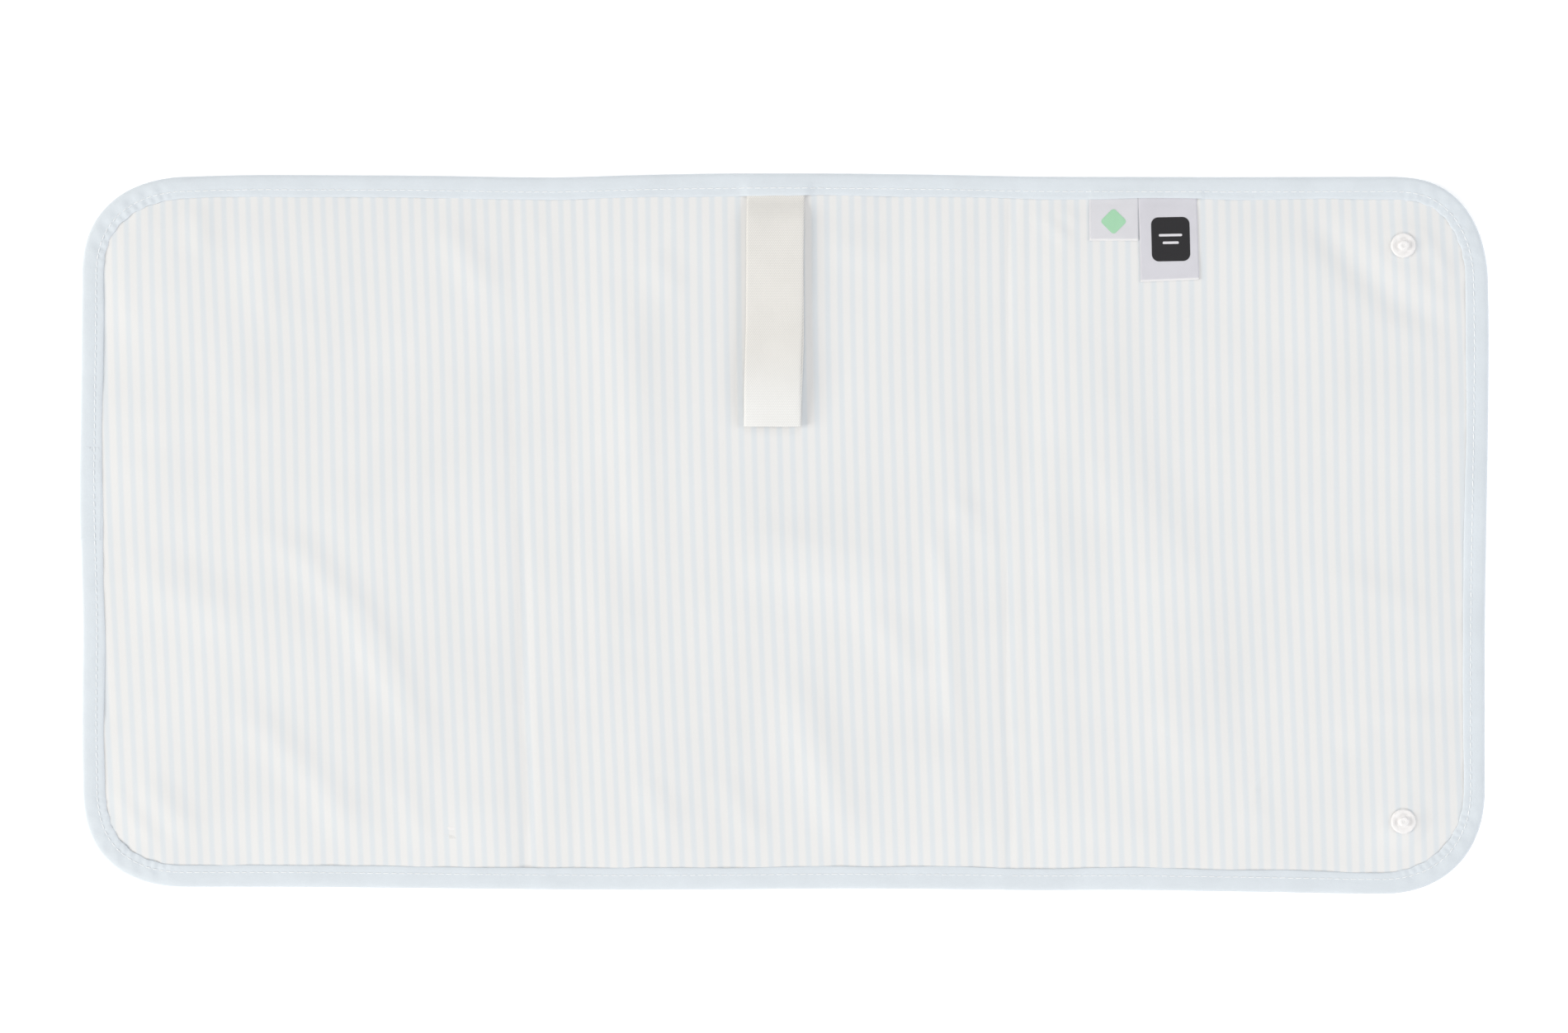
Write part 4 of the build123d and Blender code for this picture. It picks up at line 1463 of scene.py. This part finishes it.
def build_loop():
    centre, run = spline(LOOP_LINE, step=0.37)
    rows = len(centre)
    run, y = run[:, None], centre[:, 1:2]
    across = np.linspace(-LOOP_HALF_WIDTH, LOOP_HALF_WIDTH, LOOP_COLS)[None, :]
    from_edge = LOOP_HALF_WIDTH - np.abs(across)
    tangent = np.gradient(centre, axis=0)
    tangent[:, 0] = 0
    tangent /= np.linalg.norm(tangent, axis=1)[:, None]
    normal = outward(tangent)[:, None, :]
    # woven cells: 1 where a thread stands proud, lower between
    pattern = np.full((rows, LOOP_COLS), -0.55)
    pattern[0::2] = -0.9
    pattern[0::4, 0::2] = 1
    pattern[2::4, 1::2] = 1
    thin = 1 - 0.42 * ramp(y, 143, 7)  # pressed thinner under the binding
    half = LOOP_HALF_THICK * (1 - 0.62 * np.exp(-from_edge / 0.38)) * thin
    edge_threads = np.exp(-from_edge / 0.5) * np.sign(across)
    selvedge = 0.09 * np.sin(2 * math.pi * run / 1.48) * edge_threads
    width = 1 + 0.012 * ramp(y, 100, 50) + 0.004 * np.sin(run / 17.0)
    ripple = 0.05 * waves(81, 8, 14, 40)(run, across * 1.5)
    cup = 0.10 * (across / LOOP_HALF_WIDTH) ** 2 * ramp(y, 118, -40)
    x = centre[:, 0:1] + across * width + selvedge
    base = np.stack(np.broadcast_arrays(x, y, centre[:, 2:3]), -1)
    base = base + normal * (ripple - cup)[..., None]
    outer_side = base + normal * (half + THREAD_RELIEF * pattern)[..., None]
    inner_side = base - normal * (half + THREAD_RELIEF * pattern[:, ::-1])[..., None]
    verts, faces, _ = grid_shell(inner_side, outer_side)
    values = {"cell": np.tile(pattern.ravel(), 2)}
    piece = new_piece("webbing_loop", verts, faces, WEBBING_MAT, values)
    face_outwards(piece)
    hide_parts("hanging_loop")
    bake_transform(piece, "mid", "loop", start=(0, 0.1535, 0.004), end=(0, 0.1405, 0.004))


build_loop()

# ---------------------------------------------------------------- labels: folded satin ribbon
LABEL_ROOT_Y = 152.2
LABEL_UPPER, LABEL_LOWER = 0.31, 0.10  # height of each layer above the face
LABEL_HALF_THICK = 0.075
LABEL_FACE_END = 147.5  # beyond this y the label runs under the tape
label_wave = waves(91, 6, 9, 24)


def face_at(x, y):
    """Face height at a real place (the warp is small, so one step back is enough)."""
    y = np.minimum(y, LABEL_FACE_END)
    wx, wy = warp(x, y)
    return face_top(2 * x - wx, 2 * y - wy)


def build_label(name, x0, x1, y_end, tilt, skew, lift_end):
    """A ribbon folded at its lower end. tilt leans it about its root and skew slants its end,
    in degrees; lift_end raises the end. Returns a function for its top height."""
    width, length = x1 - x0, LABEL_ROOT_Y - y_end
    lean = math.tan(math.radians(tilt))
    shares = np.linspace(0, 1, int(round(length / 0.8)))
    middle, half = (LABEL_UPPER + LABEL_LOWER) / 2, (LABEL_UPPER - LABEL_LOWER) / 2
    # share of the length, height above the face, reach beyond the end
    layers = [(t, LABEL_UPPER, 0.0) for t in shares]
    layers += [
        (1.0, middle + half * math.cos(a), 0.34 * math.sin(a))
        for a in np.linspace(0, math.pi, 9)[1:-1]
    ]
    layers += [(t, LABEL_LOWER, 0.0) for t in shares[::-1]]
    cols = int(round(width / 0.7)) + 1
    T, above, beyond = (np.repeat(column[:, None], cols, 1) for column in np.array(layers).T)
    U = np.repeat(np.linspace(0, 1, cols)[None, :], len(layers), 0)

    def curl(x, y, t, u):
        return lift_end * t**3 * (0.5 + 0.5 * (2 * u - 1) ** 2) + 0.05 * label_wave(x, y) * t

    y = LABEL_ROOT_Y - T * length - beyond
    x = x0 + U * width + (LABEL_ROOT_Y - y) * lean
    y = y + (U - 0.5) * width * math.sin(math.radians(skew)) * T
    under_tape = ramp(y, 146.0, 4.0)
    ground = face_at(x, y) * (1 - under_tape) + 2.62 * under_tape
    z = ground + above * (0.6 + 0.4 * ramp(y, 148.5, -6)) + curl(x, y, T, U)
    mid_line = np.stack([x, y, z], -1)
    tangent = np.gradient(mid_line, axis=0)
    tangent /= np.maximum(np.linalg.norm(tangent, axis=2), 1e-9)[..., None]
    offset = outward(tangent) * LABEL_HALF_THICK
    verts, faces, _ = grid_shell(mid_line - offset, mid_line + offset)
    # a paler band along the fold, on the upper layer
    hem = ramp(T * length + beyond, length - 0.75, 0.35) * (above > 0.2)
    values = {"hem": np.tile(hem.ravel(), 2)}
    piece = new_piece(f"ribbon_{name}", verts, faces, LABEL_MATS[name], values)
    face_outwards(piece)
    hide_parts(f"label_{name}")
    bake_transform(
        piece, "panel_right", f"{name}_label", start=(0, 0.1525, 0.004), end=(0, 0.1450, 0.004)
    )

    def surface(x, y):
        down = LABEL_ROOT_Y - y
        t = np.clip(down / length, 0, 1)
        u = np.clip((x - x0 - down * lean) / width, 0, 1)
        return face_at(x, y) + LABEL_UPPER + curl(x, y, t, u) + LABEL_HALF_THICK

    return surface


def build_patch(name, body, surface, centre, half, corner, tilt, mat, above=0.03):
    """A plain printed patch: a rounded block lying on the label, turned by tilt degrees."""
    half_x, half_y = half
    y = np.sin(np.linspace(-1, 1, 26) * math.pi / 2) * half_y
    over = np.maximum(np.abs(y) - (half_y - corner), 0)
    reach = half_x - corner + np.sqrt(np.maximum(corner**2 - over**2, 0))
    X = np.linspace(-1, 1, 22)[None, :] * reach[:, None]
    Y = y[:, None]
    ca, sa = math.cos(math.radians(tilt)), math.sin(math.radians(tilt))
    px, py = centre[0] + X * ca - Y * sa, centre[1] + X * sa + Y * ca
    z = surface(px, py) + above
    verts, faces, sharp = height_shell(px, py, z + 0.05, z - 0.02)
    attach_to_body(new_piece(name, verts, faces, mat, sharp=sharp), body)


small_top = build_label("small", 136.6, 158.4, y_end=131.35, tilt=0.0, skew=0.0, lift_end=0.12)
large_top = build_label("large", 158.5, 184.6, y_end=113.4, tilt=1.5, skew=2.4, lift_end=0.16)
build_patch(
    "patch_small", "small_label", small_top,
    centre=(147.4, 139.6), half=(4.3, 4.3), corner=1.5, tilt=45.0, mat=MINT_MAT,
)
build_patch(
    "patch_large", "large_label", large_top,
    centre=(172.9, 131.6), half=(8.6, 9.9), corner=3.2, tilt=1.1, mat=BLACK_MAT,
)
for name, centre, half in (
    ("patch_bar_upper", (172.8, 133.4), (5.2, 0.55)),
    ("patch_bar_lower", (172.9, 130.0), (3.6, 0.55)),
):
    build_patch(
        name, "large_label", large_top, centre, half,
        corner=0.5, tilt=1.1, mat=PALE_MAT, above=0.07,
    )

# ---------------------------------------------------------------- floor, world, lights, camera
# (metres from here on)
FLOOR_HALF, FLOOR_Z = 6, -0.0003


def build_floor():
    mesh = bpy.data.meshes.new("floor")
    corners = [(-1, -1), (1, -1), (1, 1), (-1, 1)]
    verts = [(x * FLOOR_HALF, y * FLOOR_HALF, FLOOR_Z) for x, y in corners]
    mesh.from_pydata(verts, [], [(0, 1, 2, 3)])
    floor = bpy.data.objects.new("floor", mesh)
    scene.collection.objects.link(floor)
    mesh.materials.append(floor_white())


def build_world():
    """White all round: dimmer as a light than as the camera sees it."""
    world = bpy.data.worlds.new("studio")
    scene.world = world
    world.use_nodes = True
    nodes, links = world.node_tree.nodes, world.node_tree.links
    nodes.clear()
    output = nodes.new("ShaderNodeOutputWorld")
    mixer = nodes.new("ShaderNodeMixShader")
    rays = nodes.new("ShaderNodeLightPath")
    links.new(rays.outputs["Is Camera Ray"], mixer.inputs[0])
    for socket, strength in ((1, 0.495), (2, 1.0)):
        background = nodes.new("ShaderNodeBackground")
        background.inputs["Strength"].default_value = strength
        background.inputs["Color"].default_value = (1, 1, 1, 1)
        links.new(background.outputs[0], mixer.inputs[socket])
    links.new(mixer.outputs[0], output.inputs[0])


def softbox(name, place, size, energy, colour):
    """A square area light aimed at the middle of the pad."""
    data = bpy.data.lights.new(name, "AREA")
    data.shape = "SQUARE"
    data.size = size
    data.energy = energy
    data.color = colour
    light = bpy.data.objects.new(name, data)
    light.location = place
    light.rotation_mode = "QUATERNION"
    light.rotation_quaternion = (-Vector(place)).to_track_quat("-Z", "Y")
    scene.collection.objects.link(light)
    light.visible_camera = False


def build_camera():
    """Looks straight down."""
    data = bpy.data.cameras.new("camera")
    camera = bpy.data.objects.new("camera", data)
    scene.collection.objects.link(camera)
    data.sensor_width = 36.0
    data.lens = 97.56
    camera.location = (0.0, CAMERA_Y * MM, (FOCUS_Z + CAMERA_HEIGHT) * MM)
    camera.rotation_euler = (0, 0, 0)
    data.clip_start = 0.05
    data.clip_end = 20
    scene.camera = camera


build_floor()
build_world()
# left is warm and strongest, right is cool; below and above are the -y and +y sides
softbox("softbox_left", (-6.4, -0.6, 2.9), size=3.4, energy=360, colour=(1.0, 0.982, 0.935))
softbox("softbox_right", (4.6, 0.3, 2.1), size=2.6, energy=97, colour=(0.955, 0.975, 1.0))
softbox("softbox_below", (0.1, -5.0, 3.4), size=2.1, energy=108, colour=(0.99, 0.99, 1.0))
softbox("softbox_above", (-0.1, 5.0, 3.4), size=2.1, energy=42, colour=(0.98, 0.985, 1.0))
build_camera()
scene.view_settings.view_transform = "Standard"
